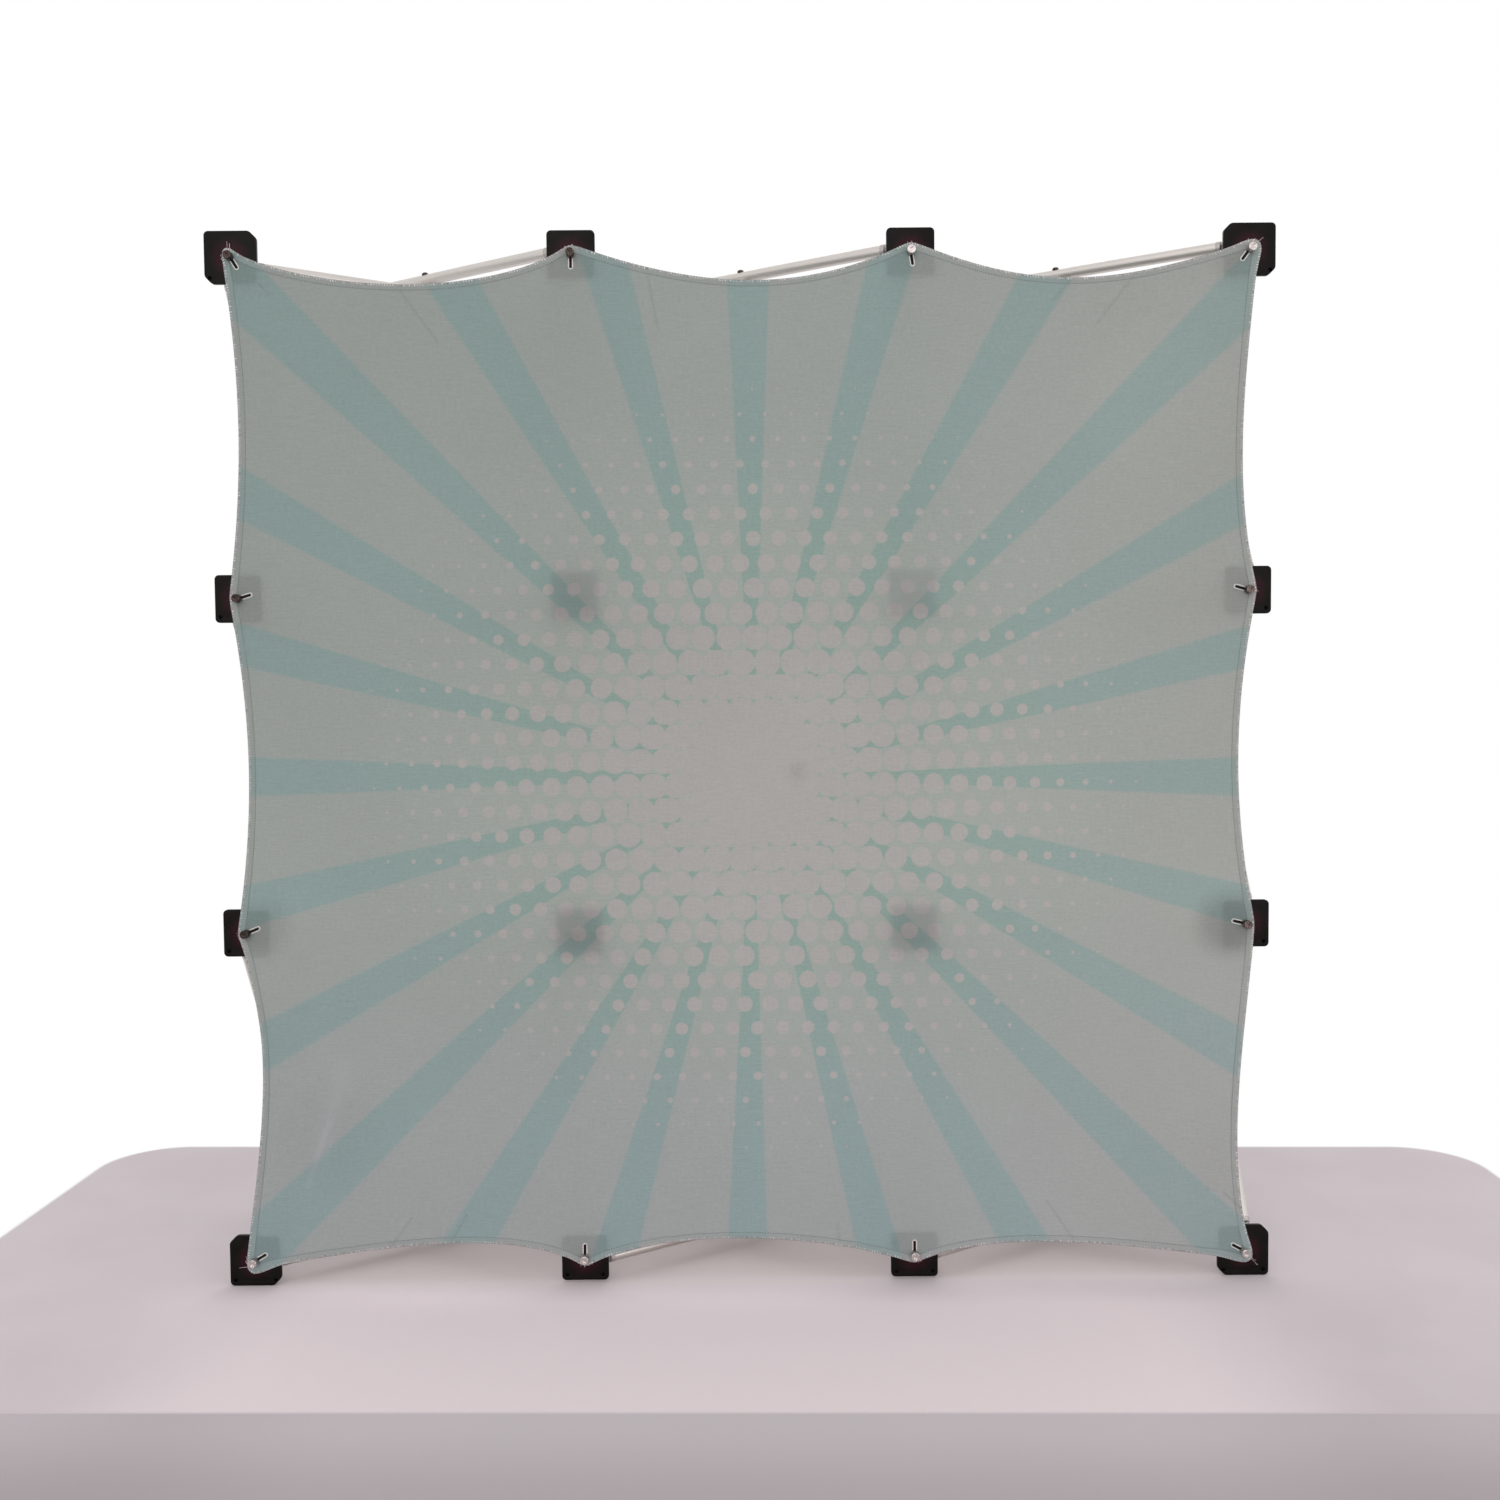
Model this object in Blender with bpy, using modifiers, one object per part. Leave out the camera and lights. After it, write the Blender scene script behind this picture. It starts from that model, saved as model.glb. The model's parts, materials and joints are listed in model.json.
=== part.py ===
"""Table-top pop-up backwall: a square scissor frame of round tubes between
square hubs, with a stretch graphic buttoned over the studs of its front hubs.

Metres, +Z up. The front faces -Y. The origin is the centre of the footprint,
on the surface that the frame stands on.
"""

import math

import bmesh
import bpy
from mathutils import Euler, Matrix, Vector

# Grid of hubs
COLUMNS = "abcd"
ROWS = 4
LAST = ROWS - 1
MIDDLE = LAST / 2
PITCH = 0.325
PIN_LINE_DEPTH = 0.200
CLEARANCE = 0.0003

# Hub plates
PLATE_SIZE = 0.046
CORNER_PLATE_SIZE = 0.050
PLATE_THICKNESS = 0.005
PLATE_RADIUS = 0.003
CORNER_CHAMFER = 0.007

# Hinge lugs and pins behind each plate
PIN_OUT = 0.014
PIN_STAND = 0.0075
PIN_RADIUS = 0.00175
TUBE_OFFSET = 0.0065
TONGUE_THICKNESS = 0.005
LUG_THICKNESS = 0.0025
LUG_HALF_WIDTH = 0.0045
LUG_ROOT = 0.001
PIN_BITE = 0.0015

# Button studs on the front hubs
STUD_NECK_RADIUS = 0.00325
STUD_NECK_LENGTH = 0.0022
STUD_HEAD_RADIUS = 0.0045
STUD_REACH = 0.010
STUD_ROOT = 0.001
STUD_EDGE = 0.0008

# Tubes
TUBE_RADIUS = 0.0055
TUBE_WALL = 0.0012
TUBE_SETBACK = 0.009
TONGUE_RADIUS = 0.004
TONGUE_BITE = 0.003
HOLE_RADIUS = 0.0022
RIVET_HEAD_RADIUS = 0.0035
RIVET_HEAD_HEIGHT = 0.0014
CUT_BEYOND = 0.002

# Inner tubes that are sub-parts of their own, one to each inner front hub. The
# others are one sub-part, inner_scissors, with the inner rear hubs.
INNER_TUBES_ALONE = (
    "upright_tube_b12_in",
    "level_tube_cd2_out",
    "upright_tube_c34_out",
    "level_tube_ab3_in",
)

# Stretch graphic
CLOTH_THICKNESS = 0.001
CLOTH_CELLS = 6
TIP_REACH = 0.0075
SIDE_INSET = 0.010
TOP_INSET = 0.029
BOTTOM_INSET = 0.019
SCALLOP_SHARPNESS = 0.7
EDGE_FADE_POWER = 3
TENT_CLEARANCE = 0.0005
SLIT_LENGTH = 0.0165
SLIT_HALF_WIDTH = 0.0016

# Round pieces are drawn with these numbers of sides
TUBE_SIDES = 10
BORE_SIDES = 6
PIN_SIDES = 8
STUD_SIDES = 8
CORNER_STEPS = 2

TUBE_SPAN = math.hypot(PITCH - 2 * PIN_OUT, PIN_LINE_DEPTH)
OPEN_ANGLE = math.atan2(PIN_LINE_DEPTH, PITCH - 2 * PIN_OUT)
PIN_INSET = PLATE_THICKNESS + PIN_STAND
CLOTH_REACH = STUD_REACH + TENT_CLEARANCE + CLEARANCE + CLOTH_THICKNESS
TOTAL_DEPTH = CLOTH_REACH + PIN_LINE_DEPTH + 2 * PIN_INSET
FRONT_FACE_Y = CLOTH_REACH - TOTAL_DEPTH / 2
FRONT_PIN_Y = FRONT_FACE_Y + PIN_INSET
REAR_PIN_Y = FRONT_PIN_Y + PIN_LINE_DEPTH
REAR_FACE_Y = REAR_PIN_Y + PIN_INSET
BASE_HEIGHT = CORNER_PLATE_SIZE / 2

# Where each arm of a hub carries its tube, as seen from the front: the four
# tubes pass beside the hub's centre like the sails of a windmill.
ARMS = {
    "right": (Vector((1, 0, 0)), Vector((0, 0, -1))),
    "up": (Vector((0, 0, 1)), Vector((1, 0, 0))),
    "left": (Vector((-1, 0, 0)), Vector((0, 0, 1))),
    "down": (Vector((0, 0, -1)), Vector((-1, 0, 0))),
}
CROSSWISE = Matrix.Rotation(math.radians(90), 4, "X")


def clear_scene():
    for obj in list(bpy.data.objects):
        bpy.data.objects.remove(obj, do_unlink=True)


def new_collection(name):
    collection = bpy.data.collections.new(name)
    bpy.context.scene.collection.children.link(collection)
    return collection


def principled(name, colour, roughness, metallic):
    material = bpy.data.materials.new(name)
    material.use_nodes = True
    shader = material.node_tree.nodes["Principled BSDF"]
    shader.inputs["Base Color"].default_value = (*colour, 1.0)
    shader.inputs["Roughness"].default_value = roughness
    shader.inputs["Metallic"].default_value = metallic
    return material


def mesh_from(name, build):
    """A mesh that the function build fills in through bmesh."""
    mesh = bpy.data.meshes.new(name)
    edit = bmesh.new()
    build(edit)
    edit.to_mesh(mesh)
    edit.free()
    return mesh


def evaluated_copy(obj, name):
    """The object's mesh with its modifiers applied, welded at the caps."""
    bpy.context.view_layer.update()
    graph = bpy.context.evaluated_depsgraph_get()
    mesh = bpy.data.meshes.new_from_object(obj.evaluated_get(graph))
    mesh.name = name
    edit = bmesh.new()
    edit.from_mesh(mesh)
    bmesh.ops.remove_doubles(edit, verts=edit.verts, dist=CLEARANCE / 100)
    edit.to_mesh(mesh)
    edit.free()
    return mesh


def box(low, high):
    """A box mesh between two opposite corners."""
    size = high - low
    place = Matrix.Translation((low + high) / 2) @ Matrix.Diagonal((*size, 1.0))
    return mesh_from("box", lambda edit: bmesh.ops.create_cube(edit, size=1, matrix=place))


def rod(radius, start, end, sides):
    """A closed round rod between two points."""
    along = end - start
    turn = along.to_track_quat("Z", "Y").to_matrix().to_4x4()
    place = Matrix.Translation((start + end) / 2) @ turn

    def build(edit):
        bmesh.ops.create_cone(
            edit,
            cap_ends=True,
            segments=sides,
            radius1=radius,
            radius2=radius,
            depth=along.length,
            matrix=place,
        )

    return mesh_from("rod", build)


def flat_plate(outline, thickness):
    """A closed outline in the XY plane, extruded to the thickness."""
    curve = bpy.data.curves.new("outline", "CURVE")
    curve.dimensions = "2D"
    curve.fill_mode = "BOTH"
    curve.extrude = thickness / 2
    spline = curve.splines.new("POLY")
    spline.points.add(len(outline) - 1)
    for point, (x, y) in zip(spline.points, outline):
        point.co = (x, y, 0, 1)
    spline.use_cyclic_u = True
    obj = bpy.data.objects.new("outline", curve)
    CUTTERS.objects.link(obj)
    mesh = evaluated_copy(obj, "plate")
    bpy.data.objects.remove(obj)
    return mesh


def turned(profile, sides):
    """A closed profile of (radius, height) points turned about Z."""

    def build(edit):
        points = [edit.verts.new((radius, 0, height)) for radius, height in profile]
        for first, second in zip(points, points[1:]):
            edit.edges.new((first, second))

    obj = bpy.data.objects.new("turned", mesh_from("turned", build))
    CUTTERS.objects.link(obj)
    screw = obj.modifiers.new("turn", "SCREW")
    screw.steps = sides
    screw.render_steps = sides
    screw.use_merge_vertices = True
    screw.merge_threshold = CLEARANCE / 100
    mesh = evaluated_copy(obj, "turned")
    bpy.data.objects.remove(obj)
    return mesh


def helper(mesh):
    obj = bpy.data.objects.new("helper", mesh)
    obj.hide_render = True
    obj.display_type = "WIRE"
    CUTTERS.objects.link(obj)
    return obj


def combined(name, base, joined=(), cut=(), solver="EXACT"):
    """One solid: the base mesh united with some meshes, then cut by others."""
    body = helper(base)
    helpers = []
    for meshes, operation in ((joined, "UNION"), (cut, "DIFFERENCE")):
        for mesh in meshes:
            other = helper(mesh)
            helpers.append(other)
            step = body.modifiers.new(operation.lower(), "BOOLEAN")
            step.operation = operation
            step.solver = solver
            step.object = other
    mesh = evaluated_copy(body, name)
    for obj in (*helpers, body):
        bpy.data.objects.remove(obj)
    return mesh


def corner_arc(corner, inward_x, inward_y, radius):
    """Points of a rounded corner, from its X side round to its Y side."""
    points = []
    for step in range(CORNER_STEPS + 1):
        angle = math.radians(90) * step / CORNER_STEPS
        x = corner[0] + inward_x * radius * (1 - math.sin(angle))
        y = corner[1] + inward_y * radius * (1 - math.cos(angle))
        points.append((x, y))
    return points


def plate_outline(size, chamfered):
    """A square with small round corners, and chamfers on the named corners."""
    half = size / 2
    points = []
    for side_x, side_y in ((1, 1), (-1, 1), (-1, -1), (1, -1)):
        corner = (side_x * half, side_y * half)
        if (side_x, side_y) in chamfered:
            run = [
                (corner[0] - side_x * CORNER_CHAMFER, corner[1]),
                (corner[0], corner[1] - side_y * CORNER_CHAMFER),
            ]
        else:
            run = corner_arc(corner, -side_x, -side_y, PLATE_RADIUS)
        points += sorted(run, key=lambda point: side_y * point[0], reverse=True)
    return points


def arm_hinge(arm):
    """Two lugs behind the plate and the pin between them, for one tube."""
    out, beside = ARMS[arm]
    middle = out * PIN_OUT + beside * TUBE_OFFSET
    inner = TONGUE_THICKNESS / 2 + CLEARANCE
    across = out * LUG_HALF_WIDTH
    near = Vector((0, PLATE_THICKNESS - LUG_ROOT, 0))
    far = Vector((0, PIN_INSET + LUG_HALF_WIDTH, 0))
    pieces = []
    for side in (-1, 1):
        first = middle + beside * side * inner - across + near
        second = middle + beside * side * (inner + LUG_THICKNESS) + across + far
        low = Vector(map(min, first, second))
        high = Vector(map(max, first, second))
        pieces.append(box(low, high))
    reach = beside * (inner + PIN_BITE)
    centre = middle + Vector((0, PIN_INSET, 0))
    pieces.append(rod(PIN_RADIUS, centre - reach, centre + reach, PIN_SIDES))
    return pieces


def stud():
    profile = [
        (0, STUD_REACH),
        (STUD_HEAD_RADIUS - STUD_EDGE, STUD_REACH),
        (STUD_HEAD_RADIUS, STUD_REACH - STUD_EDGE),
        (STUD_HEAD_RADIUS, STUD_NECK_LENGTH),
        (STUD_NECK_RADIUS, STUD_NECK_LENGTH),
        (STUD_NECK_RADIUS, -STUD_ROOT),
        (0, -STUD_ROOT),
    ]
    mesh = turned(profile, STUD_SIDES)
    mesh.transform(CROSSWISE)
    return mesh


def hub_mesh(name, size, chamfered, arms, with_stud):
    """A hub whose plate faces -Y, its face on the local XZ plane."""
    plate = flat_plate(plate_outline(size, chamfered), PLATE_THICKNESS)
    plate.transform(CROSSWISE)
    plate.transform(Matrix.Translation((0, PLATE_THICKNESS / 2, 0)))
    pieces = [piece for arm in arms for piece in arm_hinge(arm)]
    if with_stud:
        pieces.append(stud())
    return combined(name, plate, joined=pieces)


def tongue(pin_x, inward):
    """The flat end of a tube, round about the pin at pin_x."""
    reach = inward * (TUBE_SETBACK + TONGUE_BITE)
    outline = [(pin_x + reach, TONGUE_RADIUS), (pin_x + reach, -TONGUE_RADIUS)]
    steps = 2 * CORNER_STEPS
    for step in range(steps + 1):
        angle = math.radians(180) * step / steps
        x = pin_x - inward * TONGUE_RADIUS * math.sin(angle)
        outline.append((x, -TONGUE_RADIUS * math.cos(angle)))
    return flat_plate(outline, TONGUE_THICKNESS)


def tube_mesh(name, riveted, drilled, bored=False):
    """A tube from its first pin, at the local origin, along +X to its last pin.

    Its hinge pins lie along local Z. A riveted tube carries its crossing's
    rivet, which passes through the middle of the other tube. The places named
    in drilled, of first, middle and last, have a hole that is clear of its pin.
    A bored tube is open along its length, beside the tongues.
    """
    along = Vector((1, 0, 0))
    cross = Vector((0, 0, 1))
    places = {"first": along * 0, "middle": along * TUBE_SPAN / 2, "last": along * TUBE_SPAN}
    body = rod(
        TUBE_RADIUS,
        along * TUBE_SETBACK,
        along * (TUBE_SPAN - TUBE_SETBACK),
        TUBE_SIDES,
    )
    if bored:
        bore = rod(
            TUBE_RADIUS - TUBE_WALL,
            along * (TUBE_SETBACK - CUT_BEYOND),
            along * (TUBE_SPAN - TUBE_SETBACK + CUT_BEYOND),
            BORE_SIDES,
        )
        body = combined("bored_rod", body, cut=[bore])
    joined = [tongue(0, 1), tongue(TUBE_SPAN, -1)]
    if riveted:
        far_side = 2 * TUBE_OFFSET + TUBE_RADIUS + CLEARANCE
        middle = places["middle"]
        foot = middle - cross * (TUBE_RADIUS - TUBE_WALL / 2) if bored else middle
        top = middle + cross * (far_side + RIVET_HEAD_HEIGHT)
        shank_top = middle + cross * (far_side + RIVET_HEAD_HEIGHT / 2)
        joined += [
            rod(PIN_RADIUS, foot, shank_top, PIN_SIDES),
            rod(RIVET_HEAD_RADIUS, middle + cross * far_side, top, PIN_SIDES),
        ]
    reach = cross * (TUBE_RADIUS + CUT_BEYOND)
    holes = [
        rod(HOLE_RADIUS, places[place] - reach, places[place] + reach, PIN_SIDES)
        for place in drilled
    ]
    return combined(name, body, joined=joined, cut=holes)


def hub_place(column, row):
    """The centre of a front hub's face."""
    x = (column - MIDDLE) * PITCH
    return Vector((x, FRONT_FACE_Y, BASE_HEIGHT + row * PITCH))


def pin_place(column, row, arm, rear):
    """The middle of a hinge pin; a rear hub is a front hub turned half round."""
    out, beside = ARMS[arm]
    if rear:
        beside = -beside
    place = hub_place(column, row) + out * PIN_OUT + beside * TUBE_OFFSET
    place.y = REAR_PIN_Y if rear else FRONT_PIN_Y
    return place


def add_part(name, mesh, material, place, turn=(0, 0, 0)):
    obj = bpy.data.objects.new(name, mesh)
    if not mesh.materials:
        mesh.materials.append(material)
    obj.location = place
    obj.rotation_mode = "ZYX"
    obj.rotation_euler = turn
    PARTS.objects.link(obj)
    return obj


def placed(mesh, place, turn):
    """A copy of the mesh, put where add_part would put it."""
    copy = mesh.copy()
    copy.transform(Matrix.Translation(place) @ Euler(turn, "ZYX").to_matrix().to_4x4())
    return copy


def smooth(mesh):
    mesh.shade_smooth()
    mesh.set_sharp_from_angle(angle=math.radians(35))


def arms_at(column, row):
    """The arms that carry a tube on a hub at this place in the grid."""
    return tuple(
        arm
        for arm, present in (
            ("right", column < LAST),
            ("up", row < LAST),
            ("left", column > 0),
            ("down", row > 0),
        )
        if present
    )


def is_corner(column, row):
    return column in (0, LAST) and row in (0, LAST)


def is_inner(column, row):
    return 0 < column < LAST and 0 < row < LAST


def corner_chamfers(column, row):
    """The two corners of a corner hub's plate beside its outermost one."""
    if not is_corner(column, row):
        return ()
    out_x = 1 if column else -1
    out_y = 1 if row else -1
    return ((-out_x, out_y), (out_x, -out_y))


def turned_round(arms):
    """The arms of a rear hub before it is turned to face the back."""
    swap = {"right": "left", "left": "right"}
    return tuple(swap.get(arm, arm) for arm in arms)


def make_hubs():
    """Adds the hubs, apart from the inner rear ones, whose meshes it returns."""
    meshes = {}
    inner_rear = []
    half_turn = (0, 0, math.pi)
    for row in range(ROWS):
        for column in range(ROWS):
            place = hub_place(column, row)
            label = f"{COLUMNS[column]}{row + 1}"
            size = CORNER_PLATE_SIZE if is_corner(column, row) else PLATE_SIZE
            arms = arms_at(column, row)
            chamfers = corner_chamfers(column, row)
            key = (size, chamfers, arms, True)
            if key not in meshes:
                meshes[key] = hub_mesh("front_hub", *key)
                smooth(meshes[key])
            add_part(f"front_hub_{label}", meshes[key], HUB_PLASTIC, place)
            mirrored = tuple((-x, y) for x, y in chamfers)
            key = (size, mirrored, turned_round(arms), False)
            if key not in meshes:
                meshes[key] = hub_mesh("rear_hub", *key)
                smooth(meshes[key])
            place.y = REAR_FACE_Y
            if is_inner(column, row):
                inner_rear.append(placed(meshes[key], place, half_turn))
            else:
                add_part(f"rear_hub_{label}", meshes[key], HUB_PLASTIC, place, half_turn)
    return inner_rear


def tube_turn(upright, from_front):
    """A level tube lies along X and an upright one along Z, both sloping in Y."""
    slope = OPEN_ANGLE if from_front else -OPEN_ANGLE
    return (0, -math.pi / 2 if upright else 0, slope)


def tube_name(column, row, upright, from_front):
    if upright:
        pair = f"upright_tube_{COLUMNS[column]}{row + 1}{row + 2}"
    else:
        pair = f"level_tube_{COLUMNS[column]}{COLUMNS[column + 1]}{row + 1}"
    return f"{pair}_{'out' if from_front else 'in'}"


def joined_tube_mesh(column, row, upright, from_front):
    """A tube of inner_scissors, left undrilled where it is joined to its pins."""
    rear = (column, row)
    if from_front:
        rear = (column, row + 1) if upright else (column + 1, row)
    drilled = ["first" if from_front else "last"]
    if not is_inner(*rear):
        drilled.append("last" if from_front else "first")
    if not from_front and tube_name(column, row, upright, True) in INNER_TUBES_ALONE:
        drilled.append("middle")
    return tube_mesh("joined_tube", from_front, drilled, bored=True)


def make_tubes():
    """Adds the tubes that are sub-parts of their own, and returns the others' meshes.

    Each tube starts at a hub's right or up arm, at the front or at the rear.
    """
    ends = ["first", "last"]
    meshes = {
        True: tube_mesh("riveted_tube", True, ends),
        False: tube_mesh("drilled_tube", False, [*ends, "middle"]),
    }
    for mesh in meshes.values():
        smooth(mesh)
    others = []
    for upright in (False, True):
        for line in range(ROWS):
            for step in range(LAST):
                column, row = (line, step) if upright else (step, line)
                for from_front in (True, False):
                    name = tube_name(column, row, upright, from_front)
                    arm = "up" if upright else "right"
                    place = pin_place(column, row, arm, rear=not from_front)
                    turn = tube_turn(upright, from_front)
                    if line in (0, LAST) or name in INNER_TUBES_ALONE:
                        add_part(name, meshes[from_front], TUBE_METAL, place, turn)
                    else:
                        mesh = joined_tube_mesh(column, row, upright, from_front)
                        others.append(placed(mesh, place, turn))
    return others


def make_inner_scissors(hubs, tubes):
    """The inner rear hubs and the tubes between them, joined at pins and rivets."""
    pieces = [*hubs[1:], *tubes]
    mesh = combined("inner_scissors", hubs[0], joined=pieces, solver="MANIFOLD")
    smooth(mesh)
    add_part("inner_scissors", mesh, TUBE_METAL, Vector((0, 0, 0)))


def scallop(along):
    """How far an edge of the cloth has drawn in, from 0 at a hub to 1 between."""
    return abs(math.sin(math.pi * along)) ** SCALLOP_SHARPNESS


def cloth_point(across, up):
    """The cloth's back at a place in the grid, in hub steps from the first hub."""
    from_middle = Vector((across, up)) / MIDDLE - Vector((1, 1))
    side_shift = TIP_REACH - (TIP_REACH + SIDE_INSET) * scallop(up)
    end_inset = TOP_INSET if from_middle.y > 0 else BOTTOM_INSET
    end_shift = TIP_REACH - (TIP_REACH + end_inset) * scallop(across)
    fade_x = math.copysign(abs(from_middle.x) ** EDGE_FADE_POWER, from_middle.x)
    fade_z = math.copysign(abs(from_middle.y) ** EDGE_FADE_POWER, from_middle.y)
    x = (across - MIDDLE) * PITCH + fade_x * side_shift
    z = BASE_HEIGHT + up * PITCH + fade_z * end_shift
    rise = min(1, across, LAST - across) * min(1, up, LAST - up)
    y = FRONT_FACE_Y - CLEARANCE - rise * (STUD_REACH + TENT_CLEARANCE)
    return Vector((x, y, z))


def slit_cutter(column, row):
    """The buttonhole: a round hole at the stud and a slit towards the middle."""
    centre = hub_place(column, row)
    depth = Vector((0, CLOTH_REACH, 0))
    hole_radius = STUD_NECK_RADIUS + CLEARANCE
    hole = rod(hole_radius, centre - depth, centre + depth / 2, STUD_SIDES)
    across = 1 if column == 0 else -1 if column == LAST else 0
    up = 1 if row == 0 else -1 if row == LAST else 0
    slit = box(
        Vector((0, -CLOTH_REACH, -SLIT_HALF_WIDTH)),
        Vector((SLIT_LENGTH, CLOTH_REACH / 2, SLIT_HALF_WIDTH)),
    )
    slit.transform(Matrix.Rotation(-math.atan2(up, across), 4, "Y"))
    slit.transform(Matrix.Translation(centre))
    return combined("buttonhole", hole, joined=[slit])


def make_graphic():
    cells = LAST * CLOTH_CELLS

    def build(edit):
        bmesh.ops.create_grid(edit, x_segments=cells, y_segments=cells, size=MIDDLE)
        for vertex in edit.verts:
            vertex.co = cloth_point(vertex.co.x + MIDDLE, vertex.co.y + MIDDLE)

    sheet = helper(mesh_from("graphic_sheet", build))
    shell = sheet.modifiers.new("thickness", "SOLIDIFY")
    shell.thickness = CLOTH_THICKNESS
    shell.offset = 1
    cloth = evaluated_copy(sheet, "graphic_cloth")
    bpy.data.objects.remove(sheet)
    buttonholes = [
        slit_cutter(column, row)
        for row in range(ROWS)
        for column in range(ROWS)
        if not is_inner(column, row)
    ]
    mesh = combined("graphic_panel", cloth, cut=buttonholes)
    smooth(mesh)
    add_part("graphic_panel", mesh, CLOTH, Vector((0, 0, 0)))


clear_scene()
PARTS = new_collection("backwall_display")
CUTTERS = new_collection("backwall_cutters")
HUB_PLASTIC = principled("hub_plastic", (0.018, 0.013, 0.014), 0.42, 0.0)
TUBE_METAL = principled("tube_aluminium", (0.62, 0.61, 0.58), 0.34, 0.9)
CLOTH = principled("stretch_graphic", (0.36, 0.38, 0.36), 0.85, 0.0)
make_inner_scissors(make_hubs(), make_tubes())
make_graphic()
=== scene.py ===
"""Table-top pop-up backwall, dressed: finer hubs, tubes and a printed stretch
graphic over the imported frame.

Metres, +Z up, the graphic faces -Y. Sizes repeat the part's own named values,
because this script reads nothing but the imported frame.
"""

import functools
import itertools
import json
import math

import bmesh
import bpy
import numpy as np
from mathutils import Matrix, Vector

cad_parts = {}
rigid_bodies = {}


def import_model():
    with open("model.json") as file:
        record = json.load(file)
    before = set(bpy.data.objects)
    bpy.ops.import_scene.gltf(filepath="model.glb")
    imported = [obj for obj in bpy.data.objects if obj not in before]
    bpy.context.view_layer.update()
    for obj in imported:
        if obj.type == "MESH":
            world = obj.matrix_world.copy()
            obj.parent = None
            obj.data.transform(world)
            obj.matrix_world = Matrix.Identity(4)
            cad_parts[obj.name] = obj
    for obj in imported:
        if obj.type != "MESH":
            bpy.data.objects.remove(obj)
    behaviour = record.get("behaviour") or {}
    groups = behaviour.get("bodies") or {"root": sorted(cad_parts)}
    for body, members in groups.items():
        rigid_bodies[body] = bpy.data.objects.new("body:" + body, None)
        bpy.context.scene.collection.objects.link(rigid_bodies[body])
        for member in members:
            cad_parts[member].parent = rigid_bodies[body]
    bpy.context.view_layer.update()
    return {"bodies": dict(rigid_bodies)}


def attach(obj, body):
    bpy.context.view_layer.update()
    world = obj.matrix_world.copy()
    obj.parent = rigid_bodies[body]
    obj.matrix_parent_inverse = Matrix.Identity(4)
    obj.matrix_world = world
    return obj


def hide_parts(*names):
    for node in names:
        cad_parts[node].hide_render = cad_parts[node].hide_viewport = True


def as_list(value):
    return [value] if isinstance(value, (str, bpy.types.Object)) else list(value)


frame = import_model()
BODIES = frame["bodies"]

# The frame
COLUMNS = "abcd"
LAST = 3
MIDDLE = LAST / 2
PITCH = 0.325
BASE_HEIGHT = 0.025
CENTRE_HEIGHT = BASE_HEIGHT + MIDDLE * PITCH
FRONT_FACE_Y = -0.1066
REAR_FACE_Y = 0.1184
PIN_LINE_DEPTH = 0.200
PIN_INSET = 0.0125
PIN_OUT = 0.014
TUBE_OFFSET = 0.0065
PLATE_SIZE = 0.046
CORNER_PLATE_SIZE = 0.050
PLATE_THICKNESS = 0.005
PLATE_RADIUS = 0.0042
CORNER_CHAMFER = 0.007
TUBE_RADIUS = 0.0055
TUBE_SETBACK = 0.009
TONGUE_THICKNESS = 0.005
TONGUE_RADIUS = 0.004
LUG_THICKNESS = 0.0025
LUG_HALF_WIDTH = 0.0045
PIN_RADIUS = 0.00175
STUD_REACH = 0.010
CLEARANCE = 0.0003
TUBE_SPAN = math.hypot(PITCH - 2 * PIN_OUT, PIN_LINE_DEPTH)
OPEN_ANGLE = math.atan2(PIN_LINE_DEPTH, PITCH - 2 * PIN_OUT)
FOLD_ANGLE = math.radians(52)
FOLDED_PITCH = 2 * PIN_OUT + TUBE_SPAN * math.cos(OPEN_ANGLE + FOLD_ANGLE)
FOLDED_DEPTH_GAIN = TUBE_SPAN * (math.sin(OPEN_ANGLE + FOLD_ANGLE) - math.sin(OPEN_ANGLE))

# Finer detail than the solids carry
ROUND = 36
PLATE_EDGE = 0.0006
CHAMFER_EASE = 0.0022
SCREW_HOLE_RADIUS = 0.0018
SCREW_HOLE_INSET = 0.0053
SCREW_RECESS = 0.0006
SCREW_LENGTH = 0.002
SCREW_DEPTH = 0.0036
LUG_EDGE = 0.0003
LUG_SINK = 0.001
LUG_FOOT = 0.0012
PIN_HEAD_RADIUS = 0.0024
PIN_HEAD_HEIGHT = 0.0005
HEAD_SINK = 0.0002
NUT_RADIUS = 0.0042
NUT_HEIGHT = 0.0028
BOLT_RADIUS = 0.0016
BOLT_END = 0.0012
SHELL_INSET = 0.001
TUBE_LIP = 0.0003
TONGUE_EDGE = 0.0004
PLUG_STEP = 0.0016
COLLAR_RADIUS = 0.0057
COLLAR_LENGTH = 0.005
RIVET_HEAD_RADIUS = 0.0035
RIVET_HEAD_HEIGHT = 0.0024
RIVET_RIM = 0.0005
# How far the rivet's near and far domes stand off
RIVET_LIFTS = (0.0003, 0.0006)
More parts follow.
